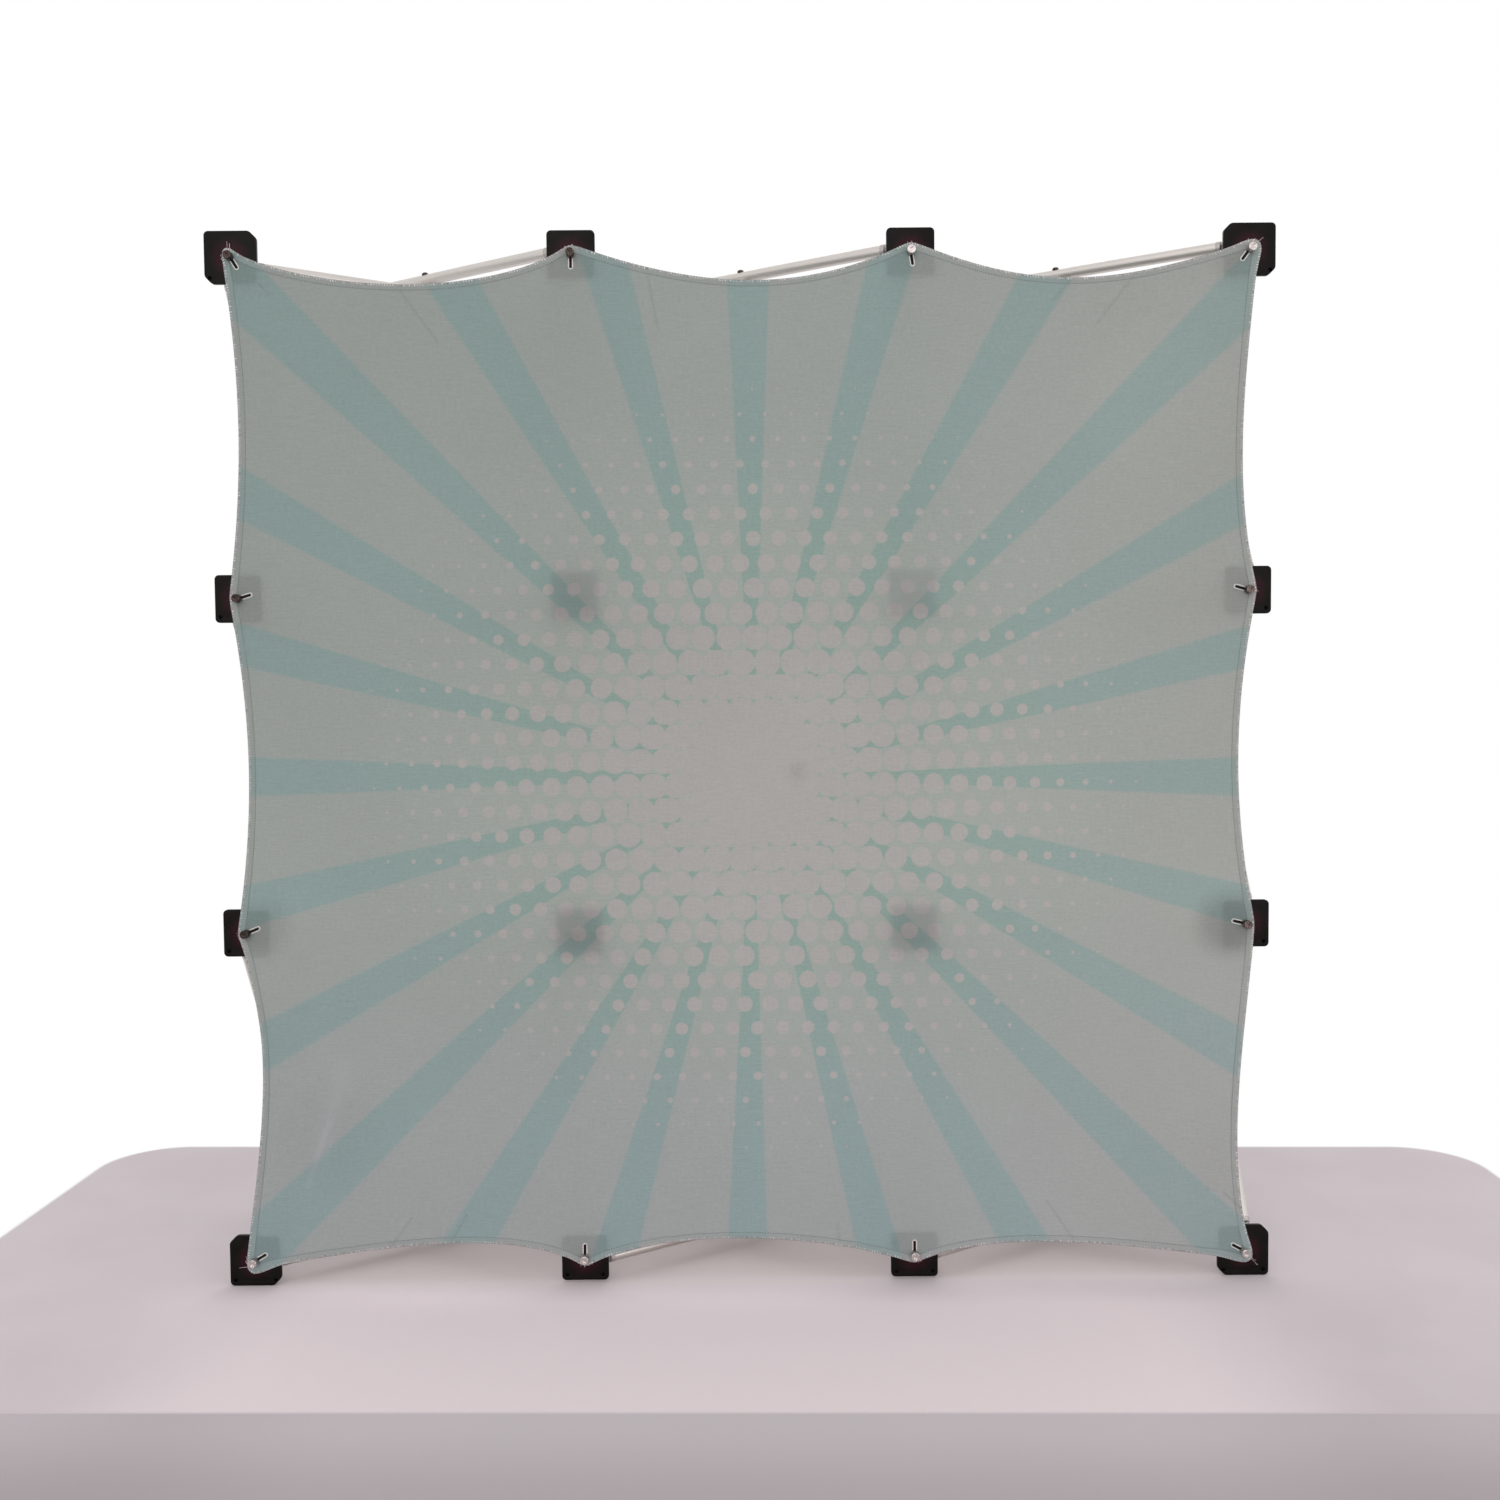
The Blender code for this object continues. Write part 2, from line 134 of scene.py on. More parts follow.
# The stud from its hollowed face to its root in the plate: radius and reach
STUD_PROFILE = (
    (0, 0.0086),
    (0.0010, 0.0086),
    (0.0012, 0.0096),
    (0.0019, 0.00985),
    (0.0022, 0.0095),
    (0.0026, 0.0095),
    (0.0028, 0.0099),
    (0.0036, STUD_REACH),
    (0.0040, 0.0097),
    (0.0041, 0.0092),
    (0.0041, 0.0027),
    (0.0038, 0.0022),
    (0.00325, 0.0022),
    (0.00325, -0.001),
    (0, -0.001),
)
NUT_PROFILE = (
    (0, 0),
    (NUT_RADIUS, 0),
    (NUT_RADIUS, NUT_HEIGHT * 0.8),
    (NUT_RADIUS * 0.85, NUT_HEIGHT),
    (BOLT_RADIUS, NUT_HEIGHT),
    (BOLT_RADIUS, NUT_HEIGHT + BOLT_END),
    (0, NUT_HEIGHT + BOLT_END),
)
SCREW_PROFILE = (
    (0, 0),
    (SCREW_HOLE_RADIUS * 0.35, 0),
    (SCREW_HOLE_RADIUS * 0.45, SCREW_RECESS),
    (SCREW_HOLE_RADIUS, SCREW_RECESS),
    (SCREW_HOLE_RADIUS, -SCREW_LENGTH),
    (0, -SCREW_LENGTH),
)
# Studs in brown or dark steel: brown patina, and dark steel that is partly painted shade for studs sitting in
# shadow, as at a2 and a3
WORN_AND_SHADED_STUDS = {"a4": "dark", "b4": "dark", "a3": "dark", "a2": "dark", "d3": "brown", "d2": "brown"}

# The graphic
TIP_REACH = 0.0080
# How much further the corner tips hang out, across and up
CORNER_TIPS = {"a4": (0.0004, 0.0022), "d4": (0.0036, 0.0022), "a1": (0.0, -0.0062), "d1": (0.0020, -0.0048)}
TIP_SPREAD = 0.016
TIP_START = 0.002
TIP_EASE = 0.007
# For the three cells of each edge: how far it draws in, how far its deepest
# place is off the middle, and how blunt its curve is
EDGES = {
    "left": ((0.0128, -0.42, 0.8), (0.0064, 0.0, 0.8), (0.0046, 0.0, 0.8)),
    "right": ((0.0072, 0.55, 0.8), (0.0087, 0.0, 0.8), (0.0062, 0.4, 0.8)),
    "top": ((0.0275, -0.1, 0.46), (0.0262, -0.15, 0.75), (0.0262, 0.1, 0.9)),
    "bottom": ((0.0160, -0.6, 0.5), (0.0180, 0.2, 0.5), (0.0115, 0.6, 0.6)),
}
SCALLOP_ROUNDING = 0.07
EDGE_FADE_POWER = 3
HEM_WIDTH = 0.0062
HEM_RAISE = 0.0004
HEM_BACK = 0.0005
HEM_TURN = 0.0005
SLIT_HALF_WIDTH = 0.0014
SLIT_END = 0.0131
SLIT_LINE = SLIT_END + 0.87 * TIP_REACH
TENT_HEIGHT = STUD_REACH + 0.0008
TENT_RADIUS = 0.0049
RELAX_ROUNDS = 1400
OVER_RELAXED = 1.85
PLEAT_HALF_PLATE = 0.0252
PLEAT_LINE = PLEAT_HALF_PLATE + 0.0004
PLEAT_DEPTH = 0.095
EDGE_PLEAT_LINE = 6
# Where grid lines run beside a stud and in from an edge; the rest are even
STUD_LINES = [0.0, SLIT_HALF_WIDTH, 0.0048, 0.0095, 0.0164, 0.0233, PLEAT_LINE]
EDGE_LINES = [0.0, HEM_WIDTH / 2, HEM_WIDTH, 0.0095, 0.0155, SLIT_LINE, PLEAT_HALF_PLATE + 0.007]
EVEN_LINES = 13
# Beside an edge plate a pleat's root is straight this far, then eases off
STRAIGHT_RUN = 0.028
STRAIGHT_EASE = 0.012
# A loose swell of the cloth: its place, half widths and height
SWELL = (-0.462, 0.292, 0.022, 0.034, 0.0045)
# Ripples along the lower hem: place across, half width, slant, radians to a metre
RIPPLES = ((-0.075, 0.035, 0.4, 210), (0.10, 0.03, -0.4, 190))
RIPPLE_PLACE = 0.045
RIPPLE_SPREAD = 0.035
RIPPLE_HEIGHT = 0.0013
RIPPLE_GAP = 0.03
RIPPLE_EASE = 0.02
# Slits that slant, with their angles; the others open straight
SLANTED_SLITS = {
    "a1": 30, "d1": 152, "a4": -58, "d4": -127, "a3": 17, "a2": 22, "d3": 164, "d2": 167, "c4": -81
}

# Sewing
SEAM_STEP = 0.0027
SEAM_HALF_STITCH = 0.0011
SEAM_WIDTH = 0.0009
SEAM_HEIGHT = 0.00025
OVERCAST_STEP = 0.0026
OVERCAST_SLANT = 0.0006
OVERCAST_REACH = 0.0022
OVERCAST_WIDTH = 0.0010
OVERCAST_HEIGHT = 0.00035
HOLE_START = 0.0040
HOLE_END = SLIT_END - 0.0010
HOLE_HALF_WIDTH = SLIT_HALF_WIDTH + 0.0005
HOLE_THREAD = 0.00056
HOLE_LIFT = 2 * CLEARANCE + 0.0003
LOOSE_THREAD = 0.0002
LOOSE_STEP = 0.0018
LOOSE_LIFT = 2 * CLEARANCE + 0.0004
LOOSE_START = TIP_REACH - 0.0006
FUZZ_COUNT = 9
FUZZ_LENGTHS = (0.0012, 0.0030)
# Loose thread ends at the tips: the angle where each starts, then its turns
LOOSE_ENDS = {
    "a4": ((106, -12, -6, 4, 2), (84, 24, -14, -10)),
    "d4": ((40, 10, -12, -8, 14, -6), (70, -30, 10)),
    "a1": ((232, -45, -8, 4, 2, 0, 3), (200, -40, -50, -50, 10, 60)),
    "d1": ((-48, 8, -14, 10, -6, 12, -18, 20), (-30, -20, -25, 15, 30, 10)),
}

# Lint on the plates: how far from the stud it fades, and how deep it sits
LINT_REACH = (0.009, 0.021)
LINT_DEPTH = (0.0005, 0.0015)
# Turning marks on steel
FINE_RINGS = 0.00035
COARSE_RINGS = 0.0021

# The print and the marks on the cloth
SUNBURST = (0.0070, 0.4986)
RAYS = 24
RAY_HALF_WIDTH = 2.35
RAY_SOFTNESS = 0.018
BEND = (-0.036, 0.038, -0.122)
DOT_COLUMN = 0.02465
DOT_ROW = 0.02376
DOT_SHIFT = (-0.0097, -0.0319)
LARGEST_DOT = 0.0153
DOTS_END = 0.45
DOT_EASE = (-0.0008, 0.0006)
CORE_RADII = (0.045, 0.085)
DEEP_RADII = (0.08, 0.40)
SMUDGE = (0.0505, 0.503)
SMUDGE_RADIUS = 0.016
COURSE = 0.0009
WALE = 0.0007
# The inner hubs' painted soft shadows, and the drawn slits: how far in and out they ease
SHADOW_EASE = (PLATE_SIZE / 2 - 0.0045, PLATE_SIZE / 2 + 0.0035)
DRAWN_SLIT = (0.002, SLIT_END - 0.0018)
DRAWN_SLIT_EASE = (SLIT_HALF_WIDTH - 0.0005, SLIT_HALF_WIDTH + 0.0003)
# Painted shade and painted light on the cloth near some hubs: across, up, radius, shade
SHADES = (
    (0.470, 0.350, 0.044, 0.76),
    (-0.411, 0.146, 0.070, 0.97),
    (0.393, 0.862, 0.100, 1.03),
    (-0.470, 0.356, 0.036, 0.90),
    (-0.1625, 0.350, 0.034, 0.93),
    (0.1640, 0.675, 0.036, 1.10),
    (0.1640, 0.350, 0.034, 0.96),
    (0.472, 0.985, 0.030, 0.94),
)
# Creases, from one end to the other
CREASES = (
    ((-0.326, 0.966), (-0.291, 0.918)),
    ((-0.089, 0.978), (-0.080, 0.929)),
    ((0.374, 0.973), (0.341, 0.930)),
    ((0.315, 0.972), (0.300, 0.953)),
    ((-0.3548, 0.0355), (-0.3328, 0.0660)),
    ((-0.2960, 0.0387), (-0.2784, 0.0681)),
    ((0.0864, 0.0544), (0.0878, 0.0396)),
    ((0.2930, 0.0763), (0.3194, 0.0381)),
    ((0.4670, 0.0832), (0.4876, 0.0636)),
)
CREASE_HALF_WIDTH = 0.0022
# A loose fold's bright ridge, a bump with a painted highlight: its ends and half width
FOLDS = (((-0.412, 0.160), (-0.434, 0.099), 0.0065), ((-0.398, 0.205), (-0.424, 0.130), 0.022))

ARMS = {
    "right": (Vector((1, 0, 0)), Vector((0, 0, -1))),
    "up": (Vector((0, 0, 1)), Vector((1, 0, 0))),
    "left": (Vector((-1, 0, 0)), Vector((0, 0, 1))),
    "down": (Vector((0, 0, -1)), Vector((-1, 0, 0))),
}
BACK = Vector((0, 1, 0))


# Places of the hubs
def label_of(column, row):
    return f"{COLUMNS[column]}{row + 1}"


def front_body(label):
    """The body of a front hub; b1 is part of the root."""
    return "base" if label == "b1" else f"front_hub_{label}"


def side_of(index):
    """-1 at the first column or row, 1 at the last and 0 between."""
    return (index == LAST) - (index == 0)


def is_corner(column, row):
    return bool(side_of(column) and side_of(row))


def is_inner(column, row):
    return not side_of(column) and not side_of(row)


def hubs(edge_only=False):
    """Column, row and label of each hub, row by row from the lowest."""
    for row, column in itertools.product(range(LAST + 1), repeat=2):
        if not (edge_only and is_inner(column, row)):
            yield column, row, label_of(column, row)


def hub_place(column, row):
    return Vector(((column - MIDDLE) * PITCH, FRONT_FACE_Y, BASE_HEIGHT + row * PITCH))


def toward(angle, depth=0.0):
    """A direction in the frame's face, by its angle in radians."""
    return Vector((math.cos(angle), depth, math.sin(angle)))


def slit_way(column, row):
    """The direction of the buttonhole's slit beside an edge stud."""
    label = label_of(column, row)
    if label in SLANTED_SLITS:
        return toward(math.radians(SLANTED_SLITS[label]))
    return Vector((-side_of(column), 0, -side_of(row)))


# The camera: square on, a little above the middle of the frame
CAMERA_PLACE = (-0.0009, -1.547, 0.5922)
CAMERA_ANGLES = (0.22, -2.70, -0.53)
LENS = 35.64
SENSOR_WIDTH = 36
CLIP_START = 0.02


def place_camera():
    """The photograph's viewpoint, from its turn, tilt and roll."""
    turn, tilt, roll = (math.radians(angle) for angle in CAMERA_ANGLES)
    ahead = Vector((math.sin(turn) * math.cos(tilt), math.cos(turn) * math.cos(tilt), math.sin(tilt)))
    level = Vector((math.cos(turn), -math.sin(turn), 0))
    right = level * math.cos(roll) + level.cross(ahead) * math.sin(roll)
    data = bpy.data.cameras.new("camera")
    data.sensor_width = SENSOR_WIDTH
    data.lens = LENS
    data.clip_start = CLIP_START
    data.dof.use_dof = False
    camera = bpy.data.objects.new("camera", data)
    camera.matrix_world = axes(right, right.cross(ahead), -ahead, CAMERA_PLACE)
    bpy.context.scene.collection.objects.link(camera)
    bpy.context.scene.camera = camera


# Materials
def srgb(red, green, blue):
    """A colour seen on a screen, 0 to 255, as linear light."""
    linear = []
    for value in (red, green, blue):
        value /= 255
        linear.append(value / 12.92 if value <= 0.04045 else ((value + 0.055) / 1.055) ** 2.4)
    return (*linear, 1.0)


class Term:
    """A value that a shader works out. Sums and products with it add the nodes for them."""

    def __init__(self, shader, socket):
        self.shader = shader
        self.socket = socket

    def math(self, operation, *others):
        node = self.shader.nodes.new("ShaderNodeMath")
        node.operation = operation
        for socket, value in zip(node.inputs, (self, *others)):
            self.shader.put(socket, value)
        return Term(self.shader, node.outputs[0])

    __add__ = functools.partialmethod(math, "ADD")
    __sub__ = functools.partialmethod(math, "SUBTRACT")
    __mul__ = functools.partialmethod(math, "MULTIPLY")
    __truediv__ = functools.partialmethod(math, "DIVIDE")
    __abs__ = functools.partialmethod(math, "ABSOLUTE")
    __round__ = functools.partialmethod(math, "ROUND")
    most = functools.partialmethod(math, "MAXIMUM")

    def ramp(self, low, high, to_low=0.0, to_high=1.0):
        """A smooth step from to_low to to_high as the value goes from low to high."""
        node = self.shader.nodes.new("ShaderNodeMapRange")
        node.interpolation_type = "SMOOTHSTEP"
        for socket, value in zip(node.inputs, (self, low, high, to_low, to_high)):
            self.shader.put(socket, value)
        return Term(self.shader, node.outputs[0])

    def fade(self, low, high):
        """1 up to low, 0 from high on, and smooth between."""
        return self.ramp(low, high, 1.0, 0.0)


def length_of(x, z):
    return (x * x + z * z).math("SQRT")


class Shader:
    """The nodes of a material or the world: each call adds one and gives its output."""

    def __init__(self, owner):
        owner.use_nodes = True
        self.nodes = owner.node_tree.nodes
        self.links = owner.node_tree.links

    def put(self, socket, value):
        """Links a term to a socket or sets a plain value on it; None leaves it alone."""
        if isinstance(value, Term):
            self.links.new(value.socket, socket)
        elif value is not None:
            socket.default_value = value

    def add(self, kind, output, **inputs):
        node = self.nodes.new(f"ShaderNode{kind}")
        for name, value in inputs.items():
            self.put(node.inputs[name], value)
        return Term(self, node.outputs[output])

    def mix(self, factor, first, second, blend="MIX"):
        node = self.nodes.new("ShaderNodeMix")
        node.data_type = "RGBA"
        node.blend_type = blend
        for key, value in (("Factor", factor), (6, first), (7, second)):
            self.put(node.inputs[key], value)
        return Term(self, node.outputs[2])

    def noise(self, vector, scale, detail=3.0, roughness=0.5):
        return self.add("TexNoise", "Fac", Vector=vector, Scale=scale, Detail=detail, Roughness=roughness)

    def drawn_noise(self, vector, *values, stretch):
        """Noise drawn out by a different scale along each axis."""
        stretched = self.add("Mapping", "Vector", Vector=vector, Scale=stretch)
        return self.noise(stretched, 1, *values)

    def position(self):
        return self.add("TexCoord", "Object")

    def mapped(self, layer):
        term = self.add("UVMap", 0)
        term.socket.node.uv_map = layer
        return term

    def parts(self, vector):
        """The X, Y and Z of a vector."""
        x = self.add("SeparateXYZ", 0, Vector=vector)
        return [Term(self, socket) for socket in x.socket.node.outputs]

    def bump(self, height, distance, strength=1.0, base=None):
        return self.add("Bump", 0, Height=height, Distance=distance, Strength=strength, Normal=base)

    def seen(self):
        """1 where the camera looks straight, through glass or in a mirror, and 0 for other light."""
        path = self.add("LightPath", 0).socket.node.outputs
        rays = ("Camera", "Glossy", "Transmission")
        camera, glossy, through = (Term(self, path[f"Is {ray} Ray"]) for ray in rays)
        return camera.most(glossy.most(through))

    def cover(self, share, first, second, output="Material Output"):
        """Shows second over first by a share."""
        both = self.nodes.new("ShaderNodeMixShader")
        for socket, value in zip(both.inputs, (share, first, second)):
            self.put(socket, value)
        self.links.new(both.outputs[0], self.nodes[output].inputs["Surface"])


class Surface(Shader):
    """A material; look sets what its main node shows."""

    def __init__(self, name, roughness=0.5, metallic=0.0):
        self.material = bpy.data.materials.new(name)
        super().__init__(self.material)
        self.main = self.nodes["Principled BSDF"]
        self.look(roughness=roughness, metallic=metallic)

    def look(self, colour=None, roughness=None, normal=None, specular=None, sheen=None, metallic=None):
        names = ("Base Color", "Roughness", "Normal", "Specular IOR Level", "Sheen Weight", "Metallic")
        for name, value in zip(names, (colour, roughness, normal, specular, sheen, metallic)):
            self.put(self.main.inputs[name], value)
        return self.material


def moulded_plastic(name, stain=0.0):
    """Black moulded plastic: a fine grain, faint cloudiness, paler worn edges
    and, where the cloth rubs it round the stud, some of its reddish lint."""
    shader = Surface(name)
    dark, light = srgb(11, 8, 7), srgb(36, 30, 28)
    place = shader.position()
    cloud = shader.noise(place, 60, 4, 0.6)
    grain = shader.noise(place, 2600, 2, 0.6)
    scuffs = shader.drawn_noise(place, 3, 0.6, stretch=(900, 900, 70))
    edge = shader.add("NewGeometry", "Pointiness")
    worn = edge.ramp(0.53, 0.66) * cloud.ramp(0.35, 0.7, 0.25, 0.8)
    colour = shader.mix(worn.most(scuffs.ramp(0.64, 0.8, 0.0, 0.3)), dark, light)
    colour = shader.mix(cloud.ramp(0.3, 0.75, 0.0, 0.25), colour, light)
    if stain:
        x, y, z = shader.parts(place)
        lint = length_of(x, z).ramp(*LINT_REACH, stain, 0.0)
        lint = lint * shader.noise(place, 420, 3, 0.6).ramp(0.3, 0.65, 0.35, 1.0)
        colour = shader.mix(lint * y.fade(*LINT_DEPTH), colour, srgb(64, 22, 34))
    normal = shader.bump(grain + scuffs * 0.6, 0.00006, 0.6)
    return shader.look(colour, grain.ramp(0.3, 0.7, 0.42, 0.58), normal, 0.1)


def drawn_aluminium():
    """Satin anodised tube: fine lines along it, soft blotches and small marks."""
    shader = Surface("tube_aluminium_drawn", metallic=1.0)
    layer = shader.mapped("along")
    lines = shader.drawn_noise(layer, 3, 0.6, stretch=(900, 14, 1))
    blotch = shader.drawn_noise(layer, 4, 0.55, stretch=(30, 22, 1))
    marks = shader.drawn_noise(layer, 2, 0.5, stretch=(220, 320, 1)).ramp(0.68, 0.78)
    colour = shader.mix(blotch, srgb(204, 197, 193), srgb(222, 216, 211))
    colour = shader.mix(lines * 0.25, colour, srgb(164, 157, 154))
    colour = shader.mix(marks * 0.35, colour, srgb(112, 107, 105))
    roughness = lines.ramp(0.25, 0.75, 0.34, 0.5) + marks * 0.1
    return shader.look(colour, roughness, shader.bump(lines, 0.00003, 0.5))


def crimped_aluminium():
    """The tubes' pressed ends: the same metal, blotched and a little rougher."""
    shader = Surface("tube_end_crimped", metallic=1.0)
    blotch = shader.noise(shader.position(), 420, 4, 0.6)
    dents = shader.noise(shader.position(), 1500, 2, 0.6)
    colour = shader.mix(blotch.ramp(0.3, 0.7), srgb(168, 161, 159), srgb(198, 192, 189))
    return shader.look(colour, dents.ramp(0.3, 0.7, 0.42, 0.56), shader.bump(dents, 0.00006, 0.5))


def turned_steel(name, dark, light, brown):
    """Lathe-cut steel: rings about the axis, with a brownish cast in the grooves."""
    shader = Surface(name, metallic=1.0)
    radius = shader.parts(shader.mapped("turned"))[0]
    rings, grooves = ((radius * (2 * math.pi / width)).math("SINE") for width in (FINE_RINGS, COARSE_RINGS))
    spots = shader.noise(shader.position(), 700, 3, 0.6)
    patina = shader.noise(shader.position(), 160, 3, 0.5).ramp(0.45, 0.75, 0.0, 0.5)
    colour = shader.mix(spots.ramp(0.35, 0.7), dark, light)
    colour = shader.mix(patina.most(grooves.ramp(0.2, 1.0, 0.0, 0.7)), colour, brown)
    normal = shader.bump(rings * 0.5 + spots * 0.5, 0.00004, 0.6)
    return shader.look(colour, spots.ramp(0.3, 0.7, 0.26, 0.42), normal)


def sewing_thread(name, dark, light, scale=1500):
    """Polyester thread with its twist."""
    shader = Surface(name, roughness=0.7)
    twist = shader.noise(shader.position(), scale, 2, 0.6)
    colour = shader.mix(twist.ramp(0.3, 0.7), dark, light)
    return shader.look(colour, None, shader.bump(twist, 0.00015, 0.7))


def to_segment(across, up, start, end):
    """How far a place on the cloth is from a short straight line."""
    dx, dz = end[0] - start[0], end[1] - start[1]
    square = math.hypot(dx, dz) ** 2
    x, z = across - start[0], up - start[1]
    along = (x * (dx / square) + z * (dz / square)).math("MINIMUM", 1.0).most(0.0)
    return length_of(x - along * dx, z - along * dz)


def ray_share(dx, dz, reach):
    """Where a ray of the sunburst lies. The stretched cloth bends the rays a
    little: their angles are out by BEND, in steps of the pattern."""
    safe = reach.most(0.001)
    rise, run = dz / safe, dx / safe
    bend = rise * BEND[1] + rise * run * BEND[2]
    angle = dz.math("ARCTAN2", dx) * (RAYS / (2 * math.pi)) - (bend + BEND[0])
    off_ray = abs((angle + (RAYS + 0.5)).math("FRACT") - 0.5)
    half = RAY_HALF_WIDTH / (360 / RAYS)
    return off_ray.fade(half - RAY_SOFTNESS, half + RAY_SOFTNESS)


def dot_share(dx, dz, reach):
    """Where a pale dot lies: a staggered grid whose dots shrink outwards and
    flow together in the middle."""
    gx, gz = dx - DOT_SHIFT[0], dz - DOT_SHIFT[1]
    row = round(gz / DOT_ROW)
    slide = abs(row - round(row * 0.5) * 2.0) * (DOT_COLUMN / 2)
    dot_x = round((gx - slide) / DOT_COLUMN) * DOT_COLUMN + slide
    dot_z = row * DOT_ROW
    from_dot = length_of(gx - dot_x, gz - dot_z)
    size = length_of(dot_x + DOT_SHIFT[0], dot_z + DOT_SHIFT[1]).ramp(0.0, DOTS_END, LARGEST_DOT, 0.0)
    return (from_dot - size).fade(*DOT_EASE).most(reach.fade(*CORE_RADII))


def sunburst(shader, across, up):
    """The printed picture: pale dots over teal rays on grey."""
    dx, dz = across - SUNBURST[0], up - SUNBURST[1]
    reach = length_of(dx, dz)
    deep = reach.fade(*DEEP_RADII)
    ray_colour = shader.mix(deep, srgb(142, 160, 157), srgb(141, 162, 153))
    ground = shader.mix(deep, srgb(158, 163, 159), srgb(161, 168, 161))
    colour = shader.mix(ray_share(dx, dz, reach), ground, ray_colour)
    return shader.mix(dot_share(dx, dz, reach) * 0.9, colour, srgb(172, 168, 165))


def cloth_tone_and_painted_shade(shader, flat, across, up, slub, mottle):
    """Painted shade and light over the cloth as a tint: darker towards the top and the left, painted shade
    and light near some hubs, a violet cast low down and a warmer one to the right, with the knit's own slow
    and fine changes of tone.
    """
    # painted shade: darker towards the left and towards the top
    shade = across.ramp(-0.55, 0.35, 0.94, 1.02) * up.ramp(0.15, 0.95, 1.05, 0.90)
    shade = shade * shader.noise(flat, 5, 2).ramp(0.3, 0.7, 0.985, 1.015)
    shade = shade * slub.ramp(0.3, 0.7, 0.945, 1.055) * mottle.ramp(0.3, 0.7, 0.965, 1.035)
    # painted shade, and painted light, at the places listed in SHADES
    for spot_x, spot_z, wide, kept in SHADES:
        gap = length_of(across - spot_x, up - spot_z)
        shade = shade * gap.ramp(wide * 0.3, wide, kept, 1.0)
    low, warm = up.fade(0.0, 0.45), across.ramp(0.10, 0.45)
    channels = {}
    for name, from_low, from_warm in (("Red", -0.02, 0.028), ("Green", -0.03, -0.014), ("Blue", 0.02, -0.02)):
        channels[name] = shade * (low * from_low + warm * from_warm + 1.0)
    return shader.add("CombineColor", 0, **channels)


def printed_cloth(name, through=0.27, lighter=0.0):
    """Knitted polyester with a sunburst of rays and a halftone of pale dots, with painted shade and light
    over it.

    The picture is worked out on the flat cloth, so it stays put as it folds.
    """
    shader = Surface(name, roughness=0.85)
    flat = shader.mapped("flat")
    across, up, _ = shader.parts(flat)
    colour = sunburst(shader, across, up)
    smudge = length_of(across - SMUDGE[0], up - SMUDGE[1]).ramp(0.0, SMUDGE_RADIUS, 0.35, 0.0)
    colour = shader.mix(smudge * shader.noise(flat, 300, 3), colour, srgb(120, 110, 108))
    threads = shader.drawn_noise(flat, 2, 0.6, stretch=(45, 1500, 1))
    ribs = shader.drawn_noise(flat, 2, 0.6, stretch=(1300, 60, 1))
    slub = threads * 0.6 + ribs * 0.4
    mottle = shader.drawn_noise(flat, 3, 0.65, stretch=(260, 420, 1))
    # painted shade: the four inner hubs' shadows, seen through the thin cloth, as soft squares
    off_x = abs(across) - PITCH / 2
    off_z = abs(up - CENTRE_HEIGHT) - PITCH / 2
    painted_hub_shadows = abs(off_x).most(abs(off_z)).fade(*SHADOW_EASE)
    colour = shader.mix(painted_hub_shadows * mottle.ramp(0.3, 0.7, 0.06, 0.15), colour, srgb(96, 88, 112))
    # the knit's tone, with painted shade and light
    colour = shader.mix(1.0, colour, cloth_tone_and_painted_shade(shader, flat, across, up, slub, mottle), "MULTIPLY")
    from_behind = shader.add("NewGeometry", "Backfacing")
    colour = shader.mix(from_behind * 0.4, colour, srgb(186, 190, 187))
    if lighter:
        colour = shader.mix(lighter, colour, srgb(200, 204, 201))
    # knit: fine courses and wales, then the creases, with painted shade along them
    knit_x, knit_z = (
        (run * (2 * math.pi / width)).math("SINE") for run, width in ((across, COURSE), (up, WALE))
    )
    normal = shader.bump(knit_x * knit_z * 0.10 + slub * 0.5, 0.00025, 0.7)
    creases = [to_segment(across, up, *ends).fade(0.0, CREASE_HALF_WIDTH) for ends in CREASES]
    dents = functools.reduce(Term.most, creases)
    normal = shader.bump(dents * -1.0, 0.0004, 1.0, normal)
    normal = shader.bump(shader.drawn_noise(flat, 3, 0.5, stretch=(9, 6, 1)), 0.004, 0.6, normal)
    # painted shade along the creases
    colour = shader.mix(dents * 0.14, colour, srgb(110, 116, 114))
    for start, end, wide in FOLDS:
        ridge = to_segment(across, up, start, end).fade(0.0, wide)
        normal = shader.bump(ridge, wide * 0.12, 1.0, normal)
        # a painted highlight along the fold's ridge
        colour = shader.mix(ridge * 0.12, colour, srgb(186, 186, 196))
    # the slanted slits, painted in narrow and dark: the shade in each opening and the black plate behind it
    for label in SLANTED_SLITS:
        at = COLUMNS.index(label[0]), int(label[1]) - 1
        ends = [hub_place(*at) + slit_way(*at) * reach for reach in DRAWN_SLIT]
        slit = to_segment(across, up, *((spot.x, spot.z) for spot in ends)).fade(*DRAWN_SLIT_EASE)
        colour = shader.mix(slit, colour, srgb(38, 31, 30))
    shader.look(colour, None, normal, 0.15, 0.08)
    glow = shader.add("BsdfTranslucent", 0, Color=colour, Normal=normal)
    shader.cover(through, Term(shader, shader.main.outputs[0]), glow)
    return shader.material


# Mesh helpers
def new_object(name, mesh, material, place=(0, 0, 0), turn=0.0):
    """An object of a mesh; a mesh that has another look already is copied."""
    if mesh.materials and mesh.materials[0] != material:
        mesh = mesh.copy()
        mesh.materials.clear()
    if not mesh.materials:
        mesh.materials.append(material)
    obj = bpy.data.objects.new(name, mesh)
    obj.location = place
    obj.rotation_euler.z = turn
    bpy.context.scene.collection.objects.link(obj)
    return obj


